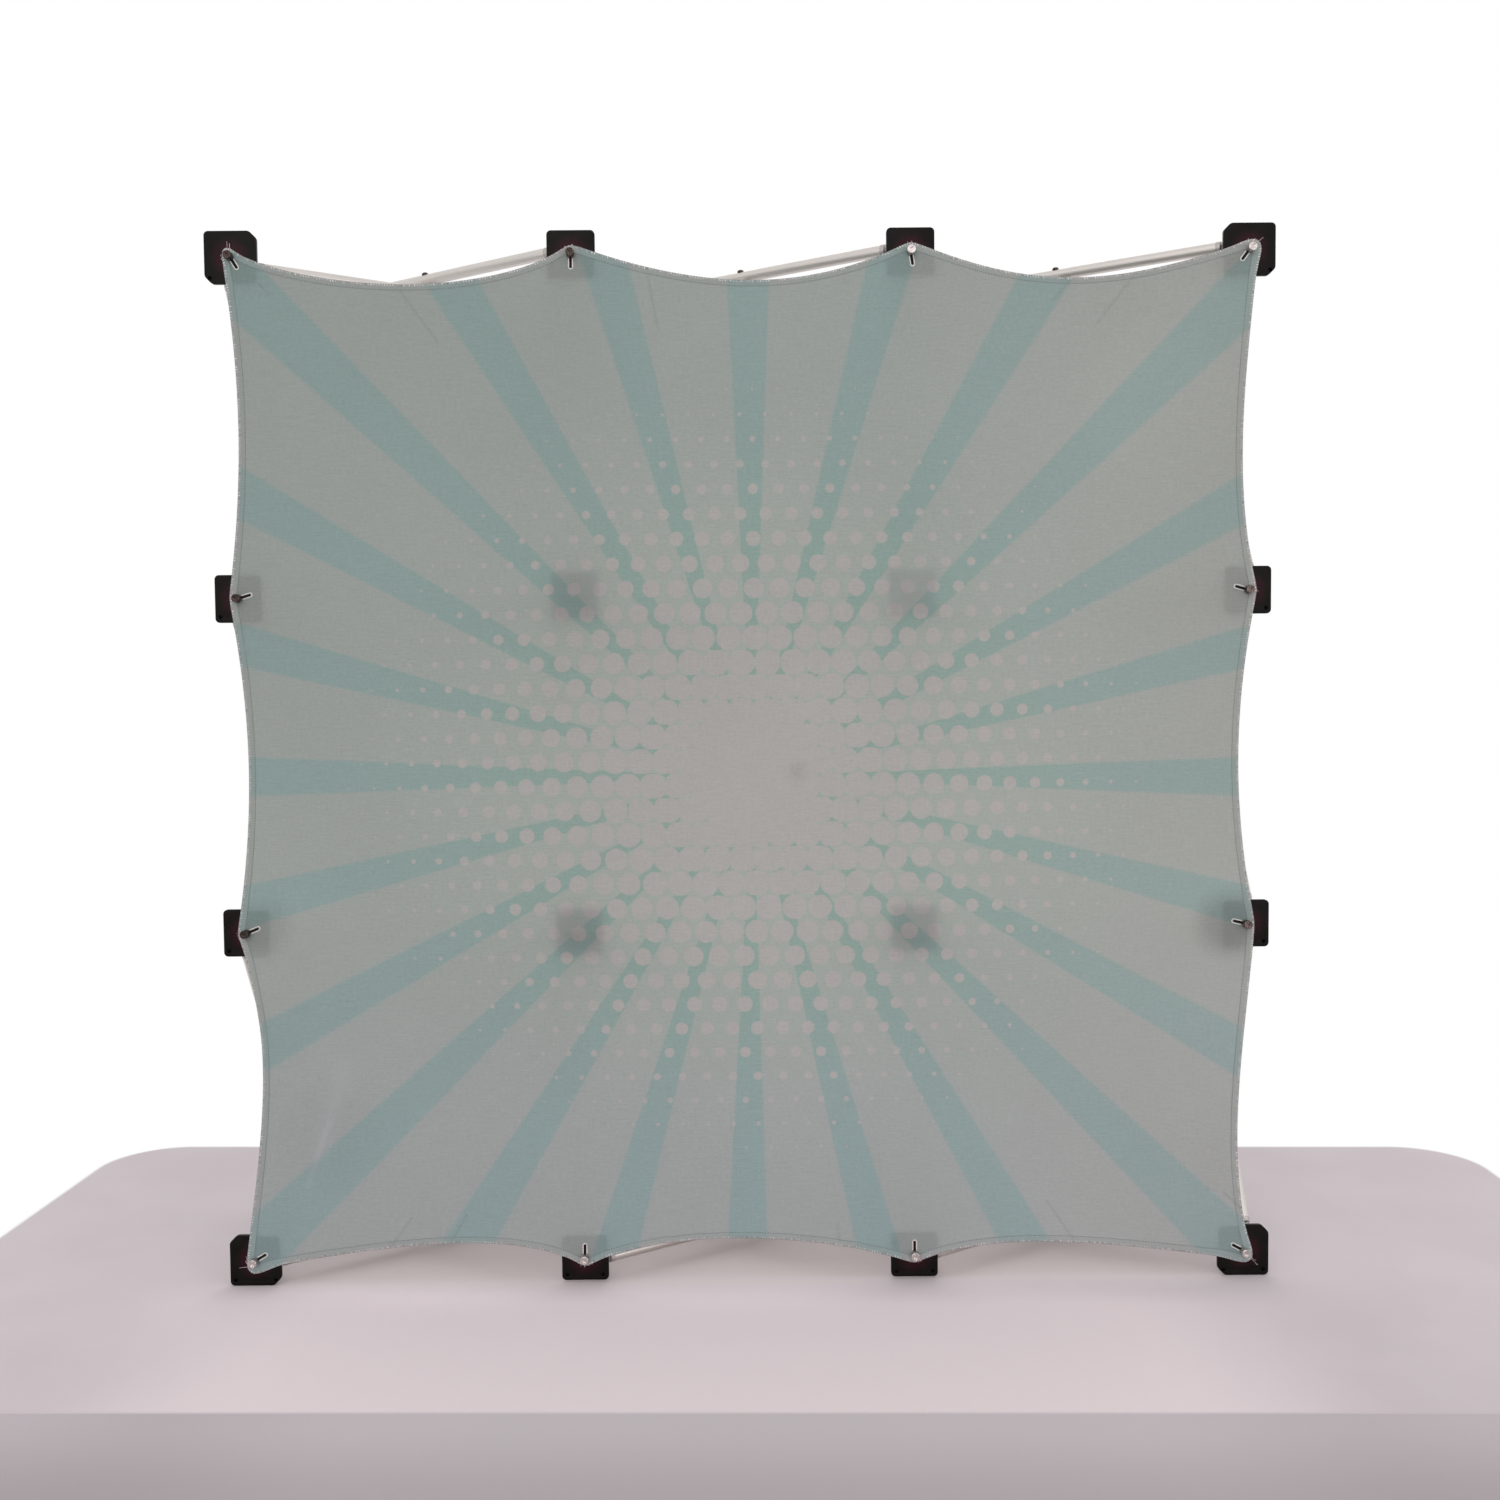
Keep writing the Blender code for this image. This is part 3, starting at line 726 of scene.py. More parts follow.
def add_piece(name, mesh, look, slot, body, node=None, place=(0, 0, 0), turn=0.0):
    """A piece that rides a body and, where a node is named, stands in for it."""
    piece = new_object(name, mesh, look, place, turn)
    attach(piece, body)
    if node:
        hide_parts(node)
    return piece


def limit_copy(obj, kind, target, used="XYZ"):
    """obj copies the place or turn of a CAD body, on the named world axes."""
    rule = obj.constraints.new(kind)
    rule.target = target
    rule.use_x, rule.use_y, rule.use_z = (axis in used for axis in "XYZ")
    rule.owner_space = rule.target_space = "WORLD"


def finished(name, edit, smooth=False):
    """The mesh of an edit, which ends with it."""
    for face in edit.faces if smooth else ():
        face.smooth = True
    mesh = bpy.data.meshes.new(name)
    edit.to_mesh(mesh)
    edit.free()
    return mesh


def flat_mapped(name, edit):
    """The finished mesh of cloth, mapped by its places before it folds."""
    layer = edit.loops.layers.uv.new("flat")
    for face in edit.faces:
        for loop in face.loops:
            loop[layer].uv = (loop.vert.co.x, loop.vert.co.z)
    return finished(name, edit, True)


def soften(mesh, degrees=32):
    mesh.shade_smooth()
    mesh.set_sharp_from_angle(angle=math.radians(degrees))
    return mesh


def joined(name, meshes):
    """One mesh from several, with their map layers kept."""
    edit = bmesh.new()
    for mesh in meshes:
        edit.from_mesh(mesh)
    return finished(name, edit)


def drawn_curve(name, paths, dimensions, bevel, resolution):
    """A curve of straight runs through some points, closed where it is flat."""
    curve = bpy.data.curves.new(name, "CURVE")
    curve.dimensions = dimensions
    curve.bevel_depth = bevel
    curve.bevel_resolution = resolution
    for path in paths:
        spline = curve.splines.new("POLY")
        spline.points.add(len(path) - 1)
        for point, spot in zip(spline.points, path):
            point.co = (*spot, 1)
        spline.use_cyclic_u = dimensions == "2D"
    return curve


def mesh_of(curve):
    """The mesh that a curve makes; the curve goes."""
    helper = bpy.data.objects.new(curve.name, curve)
    bpy.context.scene.collection.objects.link(helper)
    bpy.context.view_layer.update()
    mesh = bpy.data.meshes.new_from_object(helper.evaluated_get(bpy.context.evaluated_depsgraph_get()))
    bpy.data.objects.remove(helper)
    bpy.data.curves.remove(curve)
    return mesh


def thread_mesh(name, paths, radius):
    """Thin threads along some lists of points, as one mesh."""
    return soften(mesh_of(drawn_curve(name, paths, "3D", radius, 1)), 60)


def arc(centre, radius, first, last, steps=6):
    """Points on a circle from one angle to another, in degrees."""
    spread = (math.radians(first + (last - first) * k / steps) for k in range(steps + 1))
    return [(centre[0] + radius * math.cos(a), centre[1] + radius * math.sin(a)) for a in spread]


def slab(outline, thickness, edge, holes=()):
    """A flat outline in the XY plane made into a plate with softened edges."""
    rings = [outline] + [arc((x, y), radius, 0, 337.5, 15) for x, y, radius in holes]
    curve = drawn_curve("outline", [[(x, y, 0) for x, y in ring] for ring in rings], "2D", edge, 2)
    curve.fill_mode = "BOTH"
    curve.offset = -edge
    curve.extrude = thickness / 2 - edge
    edit = bmesh.new()
    edit.from_mesh(mesh_of(curve))
    bmesh.ops.remove_doubles(edit, verts=edit.verts, dist=1e-6)
    bmesh.ops.recalc_face_normals(edit, faces=edit.faces)
    return finished("outline", edit)


def turned(profile, steps=ROUND, along=False):
    """(radius, height) points turned about Z, mapped by radius plus height and by
    angle. With along, the ends are capped and the map is the way round and the height."""
    edit = bmesh.new()
    layer = edit.loops.layers.uv.new("along" if along else "turned")
    rings = []
    for radius, height in profile:
        angles = [2 * math.pi * step / steps for step in range(1 if radius < 1e-6 else steps)]
        rings.append([edit.verts.new((radius * math.cos(a), radius * math.sin(a), height)) for a in angles])
    for first, second in zip(rings, rings[1:]):
        for step in range(steps):
            nxt = (step + 1) % steps
            spots = ((first, step), (first, nxt), (second, nxt), (second, step))
            face = edit.faces.new(dict.fromkeys(ring[index % len(ring)] for ring, index in spots))
            for loop, turn in zip(face.loops, (step, step + 1, step + 1, step)):
                spot = loop.vert.co
                if along:
                    loop[layer].uv = (turn / steps * 2 * math.pi * TUBE_RADIUS, spot.z)
                else:
                    loop[layer].uv = (math.hypot(spot.x, spot.y) + spot.z, math.atan2(spot.y, spot.x))
    if along:
        edit.faces.new(rings[0][::-1])
        edit.faces.new(rings[-1])
    bmesh.ops.recalc_face_normals(edit, faces=edit.faces)
    return finished("turned", edit)


def moved(mesh, matrix):
    mesh.transform(matrix)
    if matrix.determinant() < 0:
        mesh.flip_normals()
    return mesh


def axes(x_axis, y_axis, z_axis, place=(0, 0, 0)):
    """A turn and move, by where the axes point and the origin goes."""
    matrix = Matrix((x_axis, y_axis, z_axis)).transposed().to_4x4()
    return Matrix.Translation(place) @ matrix


def facing(place=(0, 0, 0)):
    """Stands a shape that lies in XY up at a place, with its top to the front."""
    return axes((1, 0, 0), (0, 0, 1), (0, -1, 0), place)


# Hubs
def plate_outline(size, chamfered):
    """A square with rounded corners, or cut ones where chamfered names them."""
    half = size / 2
    points = []
    for (side_x, side_z), first in zip(((1, 1), (-1, 1), (-1, -1), (1, -1)), (0, 90, 180, 270)):
        if (side_x, side_z) in chamfered:
            slope = CHAMFER_EASE * math.sqrt(0.5)
            reach = half - CORNER_CHAMFER
            run = [(half, reach - CHAMFER_EASE), (half - slope * 0.2, reach - slope * 0.2)]
            run.append((half - slope, reach + slope))
            run += [(z, x) for x, z in reversed(run)]
            run = [(side_x * x, side_z * z) for x, z in run]
            points += run if side_x * side_z > 0 else run[::-1]
        else:
            middle = (side_x * (half - PLATE_RADIUS), side_z * (half - PLATE_RADIUS))
            points += arc(middle, PLATE_RADIUS, first, first + 90)
    return points


def lug_pair(out, beside, middle):
    """The two lugs beside a tube's tongue, each with its sloped foot."""
    width, low, high = LUG_HALF_WIDTH, PLATE_THICKNESS - LUG_SINK, PLATE_THICKNESS + LUG_FOOT
    lug = [(-width, low), *arc((0, PIN_INSET), width, 180, 0, 12), (width, low)]
    foot = [(-width - LUG_FOOT, low), (-width, high), (width, high), (width + LUG_FOOT, low)]
    for side in (-1, 1):
        at = middle + beside * side * (TONGUE_THICKNESS / 2 + CLEARANCE + LUG_THICKNESS / 2)
        for outline, edge in ((lug, LUG_EDGE), (foot, LUG_EDGE / 2)):
            yield moved(slab(outline[::-1], LUG_THICKNESS, edge), axes(out, BACK, out.cross(BACK), at))


def hinge_pin():
    """A pin along Z with a low head at each end."""
    reach = TONGUE_THICKNESS / 2 + CLEARANCE + LUG_THICKNESS
    top, rim = reach + PIN_HEAD_HEIGHT, reach - HEAD_SINK
    half = [(0, top), (PIN_HEAD_RADIUS * 0.7, top), (PIN_HEAD_RADIUS, reach + PIN_HEAD_HEIGHT / 2)]
    half += [(PIN_HEAD_RADIUS, rim), (PIN_RADIUS, rim)]
    return turned([(radius, -height) for radius, height in half] + half[::-1], 20)


@functools.cache
def hub_meshes(size, chamfered, arms, with_stud):
    """(plastic, steel) meshes of a hub whose face is the local XZ plane."""
    inset = size / 2 - SCREW_HOLE_INSET
    holes = [(side * inset, -inset, SCREW_HOLE_RADIUS) for side in (-1, 1)]
    plate = slab(plate_outline(size, chamfered), PLATE_THICKNESS, PLATE_EDGE, holes)
    plastic, steel = [moved(plate, facing((0, PLATE_THICKNESS / 2, 0)))], []
    for arm in arms:
        out, beside = ARMS[arm]
        middle = out * PIN_OUT + beside * TUBE_OFFSET
        plastic += lug_pair(out, beside, middle)
        along = BACK.cross(beside)
        steel.append(moved(hinge_pin(), axes(along, BACK, along.cross(BACK), middle + BACK * PIN_INSET)))
    if with_stud:
        steel.append(moved(turned(STUD_PROFILE), facing()))
    nut = turned(NUT_PROFILE, 6 if with_stud else 24)
    steel.append(moved(nut, axes((1, 0, 0), (0, 0, -1), (0, 1, 0), (0, PLATE_THICKNESS - HEAD_SINK, 0))))
    for x, z, _ in holes:
        plastic.append(moved(turned(SCREW_PROFILE, 16), facing((x, SCREW_DEPTH, z))))
    return soften(joined("hub_plastic", plastic)), soften(joined("hub_steel", steel))


def make_hubs(plastic, front_plastic, steel, worn_and_shaded_steel):
    """The front and rear hub at each place, each as a plastic and a steel piece."""
    slots = ("hub_plastic", "stud_steel")
    mirror = {"right": "left", "left": "right"}
    for column, row, label in hubs():
        size = CORNER_PLATE_SIZE if is_corner(column, row) else PLATE_SIZE
        present = {"right": column < LAST, "up": row < LAST, "left": column > 0, "down": row > 0}
        arms = tuple(arm for arm in ARMS if present[arm])
        out_x, out_z = side_of(column), side_of(row)
        chamfers = ((-out_x, out_z), (out_x, -out_z)) if is_corner(column, row) else ()
        place = hub_place(column, row)
        node = f"front_hub_{label}"
        meshes = hub_meshes(size, chamfers, arms, True)
        # these studs take brown or dark steel; the dark steel is partly painted shade
        looks = (front_plastic, worn_and_shaded_steel.get(WORN_AND_SHADED_STUDS.get(label), steel))
        for suffix, mesh, look, slot in zip(("plate", "stud"), meshes, looks, slots):
            add_piece(f"{node}_{suffix}", mesh, look, slot, front_body(label), node, place)
        node = f"rear_hub_{label}"
        arms = tuple(mirror.get(arm, arm) for arm in arms)
        meshes = hub_meshes(size, tuple((-x, z) for x, z in chamfers), arms, False)
        place = Vector((place.x, REAR_FACE_Y, place.z))
        for suffix, mesh, look, slot in zip(("plate", "pins"), meshes, (plastic, steel), slots):
            name = f"{node}_{suffix}"
            if is_inner(column, row):
                # joined in inner_scissors: its row comes from the left column, its column from the lowest row
                baked = moved(mesh.copy(), Matrix.Translation(place) @ Matrix.Rotation(math.pi, 4, "Z"))
                piece = add_piece(name, baked, look, slot, f"rear_hub_a{row + 1}", "inner_scissors")
                limit_copy(piece, "COPY_LOCATION", BODIES[f"rear_hub_{COLUMNS[column]}1"], "X")
            else:
                add_piece(name, mesh, look, slot, node, node, place, math.pi)


# Tubes
def tube_shell():
    """The drawn tube from collar to collar, mapped round and along."""
    start, end = TUBE_SETBACK + SHELL_INSET, TUBE_SPAN - TUBE_SETBACK - SHELL_INSET
    profile = [(TUBE_RADIUS - TUBE_LIP, start), (TUBE_RADIUS, start + TUBE_LIP)]
    profile += [(TUBE_RADIUS, start + (end - start) * k / 12) for k in range(1, 12)]
    profile += [(TUBE_RADIUS, end - TUBE_LIP), (TUBE_RADIUS - TUBE_LIP, end)]
    return soften(moved(turned(profile, along=True), axes((0, 1, 0), (0, 0, 1), (1, 0, 0))))


def tube_tips():
    """The moulded plugs at both ends: a collar, a taper and a drilled tongue."""
    collar = (
        (0, TUBE_SETBACK - PLUG_STEP),
        (TONGUE_RADIUS, TUBE_SETBACK - PLUG_STEP),
        (COLLAR_RADIUS - TUBE_LIP, TUBE_SETBACK),
        (COLLAR_RADIUS, TUBE_SETBACK + TUBE_LIP),
        (COLLAR_RADIUS, TUBE_SETBACK + COLLAR_LENGTH - TUBE_LIP),
        (COLLAR_RADIUS - TUBE_LIP, TUBE_SETBACK + COLLAR_LENGTH),
        (TUBE_RADIUS - SHELL_INSET, TUBE_SETBACK + COLLAR_LENGTH),
    )
    outline = arc((0, 0), TONGUE_RADIUS, 90, 270, 12)
    outline += [(TUBE_SETBACK + SHELL_INSET, side * TONGUE_RADIUS) for side in (-1, 1)]
    pieces = []
    for end, inward in ((0, 1), (TUBE_SPAN, -1)):
        pieces.append(moved(turned(collar), axes((0, 1, 0), (0, 0, inward), (inward, 0, 0), (end, 0, 0))))
        tongue = slab(outline, TONGUE_THICKNESS, TONGUE_EDGE, [(0, 0, PIN_RADIUS + CLEARANCE)])
        if inward < 0:
            moved(tongue, Matrix.Translation((end, 0, 0)) @ Matrix.Rotation(math.pi, 4, "Z"))
        pieces.append(tongue)
    return soften(joined("tube_tips", pieces))


def rivet():
    """The crossing's rivet: a dome on the near tube and one on the far tube."""
    near, far = TUBE_RADIUS - TUBE_LIP, 2 * TUBE_OFFSET + TUBE_RADIUS - TUBE_LIP
    angles = [step * math.pi / 12 for step in range(7)]
    dome = [(RIVET_HEAD_RADIUS * math.cos(a), RIVET_HEAD_HEIGHT * math.sin(a)) for a in angles]
    profile = [(radius, -near - height - RIVET_LIFTS[0]) for radius, height in reversed(dome)]
    profile += [(radius, -near + RIVET_RIM) for radius in (RIVET_HEAD_RADIUS, PIN_RADIUS)]
    profile += [(radius, far - RIVET_RIM) for radius in (PIN_RADIUS, RIVET_HEAD_RADIUS)]
    profile += [(radius, far + height + RIVET_LIFTS[1]) for radius, height in dome]
    return soften(moved(turned(profile, 28), Matrix.Translation((TUBE_SPAN / 2, 0, 0))), 50)


def tube_name(upright, column, row, out):
    """The node of one tube of the scissor pair beyond a place, to its right or above it."""
    way = "out" if out else "in"
    if upright:
        return f"upright_tube_{COLUMNS[column]}{row + 1}{row + 2}_{way}"
    return f"level_tube_{COLUMNS[column:column + 2]}{row + 1}_{way}"


def make_tubes(aluminium, tip_metal, steel):
    """Every tube of the frame, its meshes turned about the pin at its front hub."""
    parts = {
        "tube": (tube_shell(), aluminium, "tube_aluminium"),
        "tips": (tube_tips(), tip_metal, "tube_aluminium"),
        "rivet": (rivet(), steel, "stud_steel"),
    }
    meshes = {}
    for upright, out, part in itertools.product((False, True), (True, False), parts):
        turn = Matrix.Rotation(OPEN_ANGLE if out else -OPEN_ANGLE, 4, "Z")
        if upright:
            turn = Matrix.Rotation(-math.pi / 2, 4, "Y") @ turn
        start = Matrix.Translation((0 if out else -TUBE_SPAN, 0, 0))
        meshes[upright, out, part] = moved(parts[part][0].copy(), turn @ start)
    places = [(False, *at) for at in itertools.product(range(LAST), range(LAST + 1), (True, False))]
    places += [(True, *at) for at in itertools.product(range(LAST + 1), range(LAST), (True, False))]
    for upright, column, row, out in places:
        name = tube_name(upright, column, row, out)
        if out:
            at, arm = (column, row), "up" if upright else "right"
        else:
            at, arm = ((column, row + 1), "down") if upright else ((column + 1, row), "left")
        outward, beside = ARMS[arm]
        pin = hub_place(*at) + outward * PIN_OUT + beside * TUBE_OFFSET + BACK * PIN_INSET
        for part, (_, look, slot) in parts.items():
            if part == "rivet" and not out:
                continue
            mesh, title = meshes[upright, out, part], f"{name}_{part}"
            if name in BODIES:
                add_piece(title, mesh, look, slot, name, name, pin)
            else:
                # joined in inner_scissors: hung on its front hub, turning with its twin
                piece = add_piece(title, mesh, look, slot, front_body(label_of(*at)), "inner_scissors", pin)
                limit_copy(piece, "COPY_ROTATION", BODIES[tube_name(upright, 0, 0, out)])


# The graphic
def grid_lines():
    """Places across the cloth, in hub steps, closer where hems and slits are."""

    def filled(near):
        rest = PITCH / 2 - near[-1]
        return near + [near[-1] + rest * k / EVEN_LINES for k in range(1, EVEN_LINES + 1)]

    def mirrored(run):
        return [PITCH - place for place in reversed(run)]

    half = filled(STUD_LINES)
    first = filled(EDGE_LINES) + mirrored(half[:-1])
    cells = (first, half + mirrored(half[:-1]), mirrored(first))
    lines = [index + place / PITCH for index, cell in enumerate(cells) for place in cell[:-1]]
    return np.array(lines + [float(LAST)])


def drawn_in(place, edge):
    """How far an edge stands outside the line of studs, at a place along it."""
    cell = min(int(place), LAST - 1)
    inset, skew, power = EDGES[edge][cell]
    part = place - cell
    part += skew * part * (1 - part)
    rounded = (math.sin(math.pi * part) ** 2 + SCALLOP_ROUNDING**2) ** (power / 2)
    low, high = SCALLOP_ROUNDING**power, (1 + SCALLOP_ROUNDING**2) ** (power / 2)
    share = (rounded - low) / (high - low)
    return TIP_REACH - (TIP_REACH + inset) * share


def relaxed_depth(lines):
    """The stretched cloth's depth in front of the studs' line, like a soap film
    pinned along its hems and pushed forward by the four inner studs."""
    count = len(lines)
    depth = np.zeros((count, count))
    held = np.zeros((count, count), bool)
    held[[0, -1], :] = held[:, [0, -1]] = True
    near = np.abs(lines[:, None] - np.array([1, 2])[None, :]).min(axis=1) * PITCH
    studs = (near[:, None] ** 2 + near[None, :] ** 2) < TENT_RADIUS**2
    depth[studs] = TENT_HEIGHT
    held |= studs
    gap = np.diff(lines)
    left, right = gap[:-1], gap[1:]
    to_left, to_right = 2 / (left * (left + right)), 2 / (right * (left + right))
    total = (to_left + to_right)[:, None] + (to_left + to_right)[None, :]
    parity = (np.add.outer(np.arange(count - 2), np.arange(count - 2)) % 2).astype(bool)
    free = ~held[1:-1, 1:-1]
    # over-relaxed, on one colour of a chessboard and then the other
    for _ in range(RELAX_ROUNDS):
        for colour in (parity, ~parity):
            pulled = (
                to_left[:, None] * depth[:-2, 1:-1]
                + to_right[:, None] * depth[2:, 1:-1]
                + to_left[None, :] * depth[1:-1, :-2]
                + to_right[None, :] * depth[1:-1, 2:]
            ) / total
            inner = depth[1:-1, 1:-1]
            inner += OVER_RELAXED * np.where(colour & free, pulled - inner, 0)
    return depth


def shape_corner(points, column, row):
    """Rounds a corner of the cloth about its stud and hangs its tip out."""
    stud = hub_place(column, row)
    side_x, side_z = side_of(column), side_of(row)
    out_x, out_z = (points[:, :, 0] - stud.x) * side_x, (points[:, :, 2] - stud.z) * side_z
    reach = np.hypot(out_x, out_z)
    beyond = (out_x > 0) & (out_z > 0)
    share = np.where(beyond, np.maximum(out_x, out_z) / np.maximum(reach, 1e-9), 1.0)
    tips = CORNER_TIPS[label_of(column, row)]
    for axis, out, side, tip in zip((0, 2), (out_x, out_z), (side_x, side_z), tips):
        points[:, :, axis] += (share - 1) * out * side
        pull = bell(reach, TIP_SPREAD) * np.clip((out + TIP_START) / TIP_EASE, 0, 1)
        points[:, :, axis] += tip * pull


def bell(distance, width):
    return np.exp(-((distance / width) ** 2))


def sheet_points():
    """Grid lines, and places of the cloth's front at every crossing of them."""
    lines = grid_lines()
    count = len(lines)
    left, right, top, bottom = (
        np.array([drawn_in(v, edge) for v in lines]) for edge in ("left", "right", "top", "bottom")
    )
    points = np.zeros((count, count, 3))
    off = lines / MIDDLE - 1
    pull = np.copysign(np.abs(off) ** EDGE_FADE_POWER, off)
    for k in range(count):
        points[k, :, 0] = (lines[k] - MIDDLE) * PITCH + pull[k] * (left if off[k] < 0 else right)
        points[:, k, 2] = BASE_HEIGHT + lines[k] * PITCH + pull[k] * (bottom if off[k] < 0 else top)
    points[:, :, 1] = FRONT_FACE_Y - 2 * CLEARANCE - relaxed_depth(lines)
    for column, row in itertools.product((0, LAST), repeat=2):
        shape_corner(points, column, row)
    # the first pleat line beyond each edge plate runs straight along the plate
    for k, sign in ((EDGE_PLEAT_LINE, 1), (count - 1 - EDGE_PLEAT_LINE, -1)):
        beside = sign * (PLEAT_LINE - MIDDLE * PITCH)
        for line, axis, middle in ((points[k], 0, 0.0), (points[:, k], 2, CENTRE_HEIGHT)):
            run = line[:, 0] + MIDDLE * PITCH if axis else line[:, 2] - BASE_HEIGHT
            off_hub = np.abs(run - np.round(run / PITCH) * PITCH)
            far = np.clip((off_hub - STRAIGHT_RUN) / STRAIGHT_EASE, 0, 1)
            hold = 1 - far * far * (3 - 2 * far)
            line[:, axis] += hold * (middle + beside - line[:, axis])
    # a loose swell by the lower left hub, and ripples along the lower hem
    x, z = points[:, :, 0], points[:, :, 2]
    swell_x, swell_z, wide, tall, height = SWELL
    swell = np.exp(-(((x - swell_x) / wide) ** 2) - ((z - swell_z) / tall) ** 2) * height
    ripple = sum(
        bell(x - place, wide) * np.sin((x + slant * z) * waves) for place, wide, slant, waves in RIPPLES
    ) * bell(z - RIPPLE_PLACE, RIPPLE_SPREAD)
    off_stud = np.minimum(np.abs(x + PITCH / 2), np.abs(x - PITCH / 2))
    clear = np.clip((off_stud - RIPPLE_GAP) / RIPPLE_EASE, 0, 1)
    points[:, :, 1] -= swell + RIPPLE_HEIGHT * ripple * clear
    return lines, points


def hub_shares(places):
    """For rest places of the cloth, each front hub's share in moving them, and
    the share that is tucked back as the frame folds up."""
    shares, tucks = [], []
    half, cell_half, folded_half = PLEAT_HALF_PLATE, PITCH / 2, FOLDED_PITCH / 2
    rows = np.arange(len(places))
    for along in (places[:, 0] + MIDDLE * PITCH, places[:, 2] - BASE_HEIGHT):
        cell = np.clip(np.floor(along / PITCH), 0, LAST - 1).astype(int)
        part = along - cell * PITCH
        near = np.minimum(part, PITCH - part)
        kept = np.where(near < half, near, half + (near - half) * (folded_half - half) / (cell_half - half))
        move = (near - kept) / (PITCH - FOLDED_PITCH)
        move = np.clip(np.where(part > cell_half, 1 - move, move), 0, 1)
        share = np.zeros((len(places), LAST + 1))
        share[rows, cell] = 1 - move
        share[rows, cell + 1] += move
        shares.append(share)
        tucks.append(np.clip((near - half) / (cell_half - half), 0, 1))
    weight = shares[0][:, :, None] * shares[1][:, None, :]
    return weight, np.maximum(*tucks) * PLEAT_DEPTH / FOLDED_DEPTH_GAIN


def follow_hubs(obj):
    """Hooks obj to the front hubs, and to a rear hub for the pleats between them."""
    places = np.empty(len(obj.data.vertices) * 3)
    obj.data.vertices.foreach_get("co", places)
    weight, tuck = hub_shares(places.reshape(-1, 3))
    at = itertools.product(range(LAST + 1), repeat=2)
    pulls = {f"front_hub_{label_of(*spot)}": weight[:, spot[0], spot[1]] for spot in at}
    del pulls["front_hub_b1"]
    pulls["rear_hub_b1"] = tuck
    for body, values in pulls.items():
        group = obj.vertex_groups.new(name=body)
        for index in np.nonzero(values > 1e-4)[0]:
            group.add([int(index)], float(values[index]), "REPLACE")
        hook = obj.modifiers.new(body, "HOOK")
        hook.object = BODIES[body]
        hook.vertex_group = body
        hook.falloff_type = "NONE"
        hook.matrix_inverse = Matrix.Identity(4)


def perimeter(count):
    """Grid indices round the cloth's edge."""
    last = count - 1
    run = [(i, 0) for i in range(last)] + [(last, j) for j in range(last)]
    return run + [(i, last) for i in range(last, 0, -1)] + [(0, j) for j in range(last, 0, -1)]


def hem_line(lines):
    """The index of the grid line along the hem's inner edge."""
    return int(np.searchsorted(lines * PITCH, HEM_WIDTH + 1e-5)) - 1


def in_slit(lines, i, j):
    """Whether a grid cell lies in a buttonhole that opens straight from an edge stud."""
    middle = ((lines[i] + lines[i + 1]) / 2, (lines[j] + lines[j + 1]) / 2)
    for side_edge, (a, b) in ((False, middle), (True, middle[::-1])):
        near = (round(a), 0 if b < MIDDLE else LAST)
        if label_of(*(near[::-1] if side_edge else near)) in SLANTED_SLITS:
            continue
        across = abs(a - round(a)) * PITCH
        along = min(b, LAST - b) * PITCH
        if 0 < round(a) < LAST and across < SLIT_HALF_WIDTH and HEM_WIDTH < along < SLIT_LINE:
            return True
    return False


def sheet_mesh(lines, points):
    edit = bmesh.new()
    count = len(lines)
    grid = [[edit.verts.new(points[i, j]) for j in range(count)] for i in range(count)]
    for i, j in itertools.product(range(count - 1), repeat=2):
        if not in_slit(lines, i, j):
            edit.faces.new((grid[i][j], grid[i + 1][j], grid[i + 1][j + 1], grid[i][j + 1]))
    return flat_mapped("graphic_sheet", edit)


def hem_mesh(lines, points):
    """The doubled edge: a band in front, turned round the edge to the back."""
    wide = hem_line(lines)
    count = len(lines)
    last = count - 1
    edit = bmesh.new()

    def layer(shift, front):
        grid = {}
        for i, j in itertools.product(range(count), repeat=2):
            inward = min(i, j, last - i, last - j)
            if inward <= wide:
                spot = Vector(points[i, j])
                spot.y += shift * (1 if inward < wide else 0.25)
                grid[i, j] = edit.verts.new(spot)
        for i, j in itertools.product(range(last), repeat=2):
            corners = [(i, j), (i + 1, j), (i + 1, j + 1), (i, j + 1)]
            if min(i, j, last - 1 - i, last - 1 - j) < wide and not in_slit(lines, i, j):
                ring = [grid[corner] for corner in corners]
                edit.faces.new(ring if front else ring[::-1])
        return grid

    front = layer(-HEM_RAISE, True)
    rear = layer(HEM_BACK, False)
    ring = perimeter(count)
    outs = []
    for k, at in enumerate(ring):
        along = Vector(points[ring[(k + 1) % len(ring)]]) - Vector(points[ring[k - 1]])
        outward = Vector((along.z, 0, -along.x)).normalized()
        middle = Vector((0, (HEM_BACK - HEM_RAISE) / 2, 0))
        outs.append(edit.verts.new(Vector(points[at]) + outward * HEM_TURN + middle))
    for k, at in enumerate(ring):
        nxt = (k + 1) % len(ring)
        edit.faces.new((front[ring[nxt]], front[at], outs[k], outs[nxt]))
        edit.faces.new((outs[nxt], outs[k], rear[at], rear[ring[nxt]]))
    for vert in [v for v in edit.verts if not v.link_faces]:
        edit.verts.remove(vert)
    return flat_mapped("graphic_hem", edit)


def stitch(edit, start, end, width, height):
    """A short raised lozenge between two points on the cloth."""
    along = end - start
    side = along.cross(-BACK).normalized() * width / 2
    rise = -BACK * height
    middle = (start + end) / 2
    low = [start, middle - side, end, middle + side]
    high = [start + along * 0.22, middle - side * 0.6, end - along * 0.22, middle + side * 0.6]
    low, high = [edit.verts.new(p) for p in low], [edit.verts.new(p + rise) for p in high]
    for k in range(4):
        edit.faces.new((low[k], low[(k + 1) % 4], high[(k + 1) % 4], high[k]))
    edit.faces.new(high)


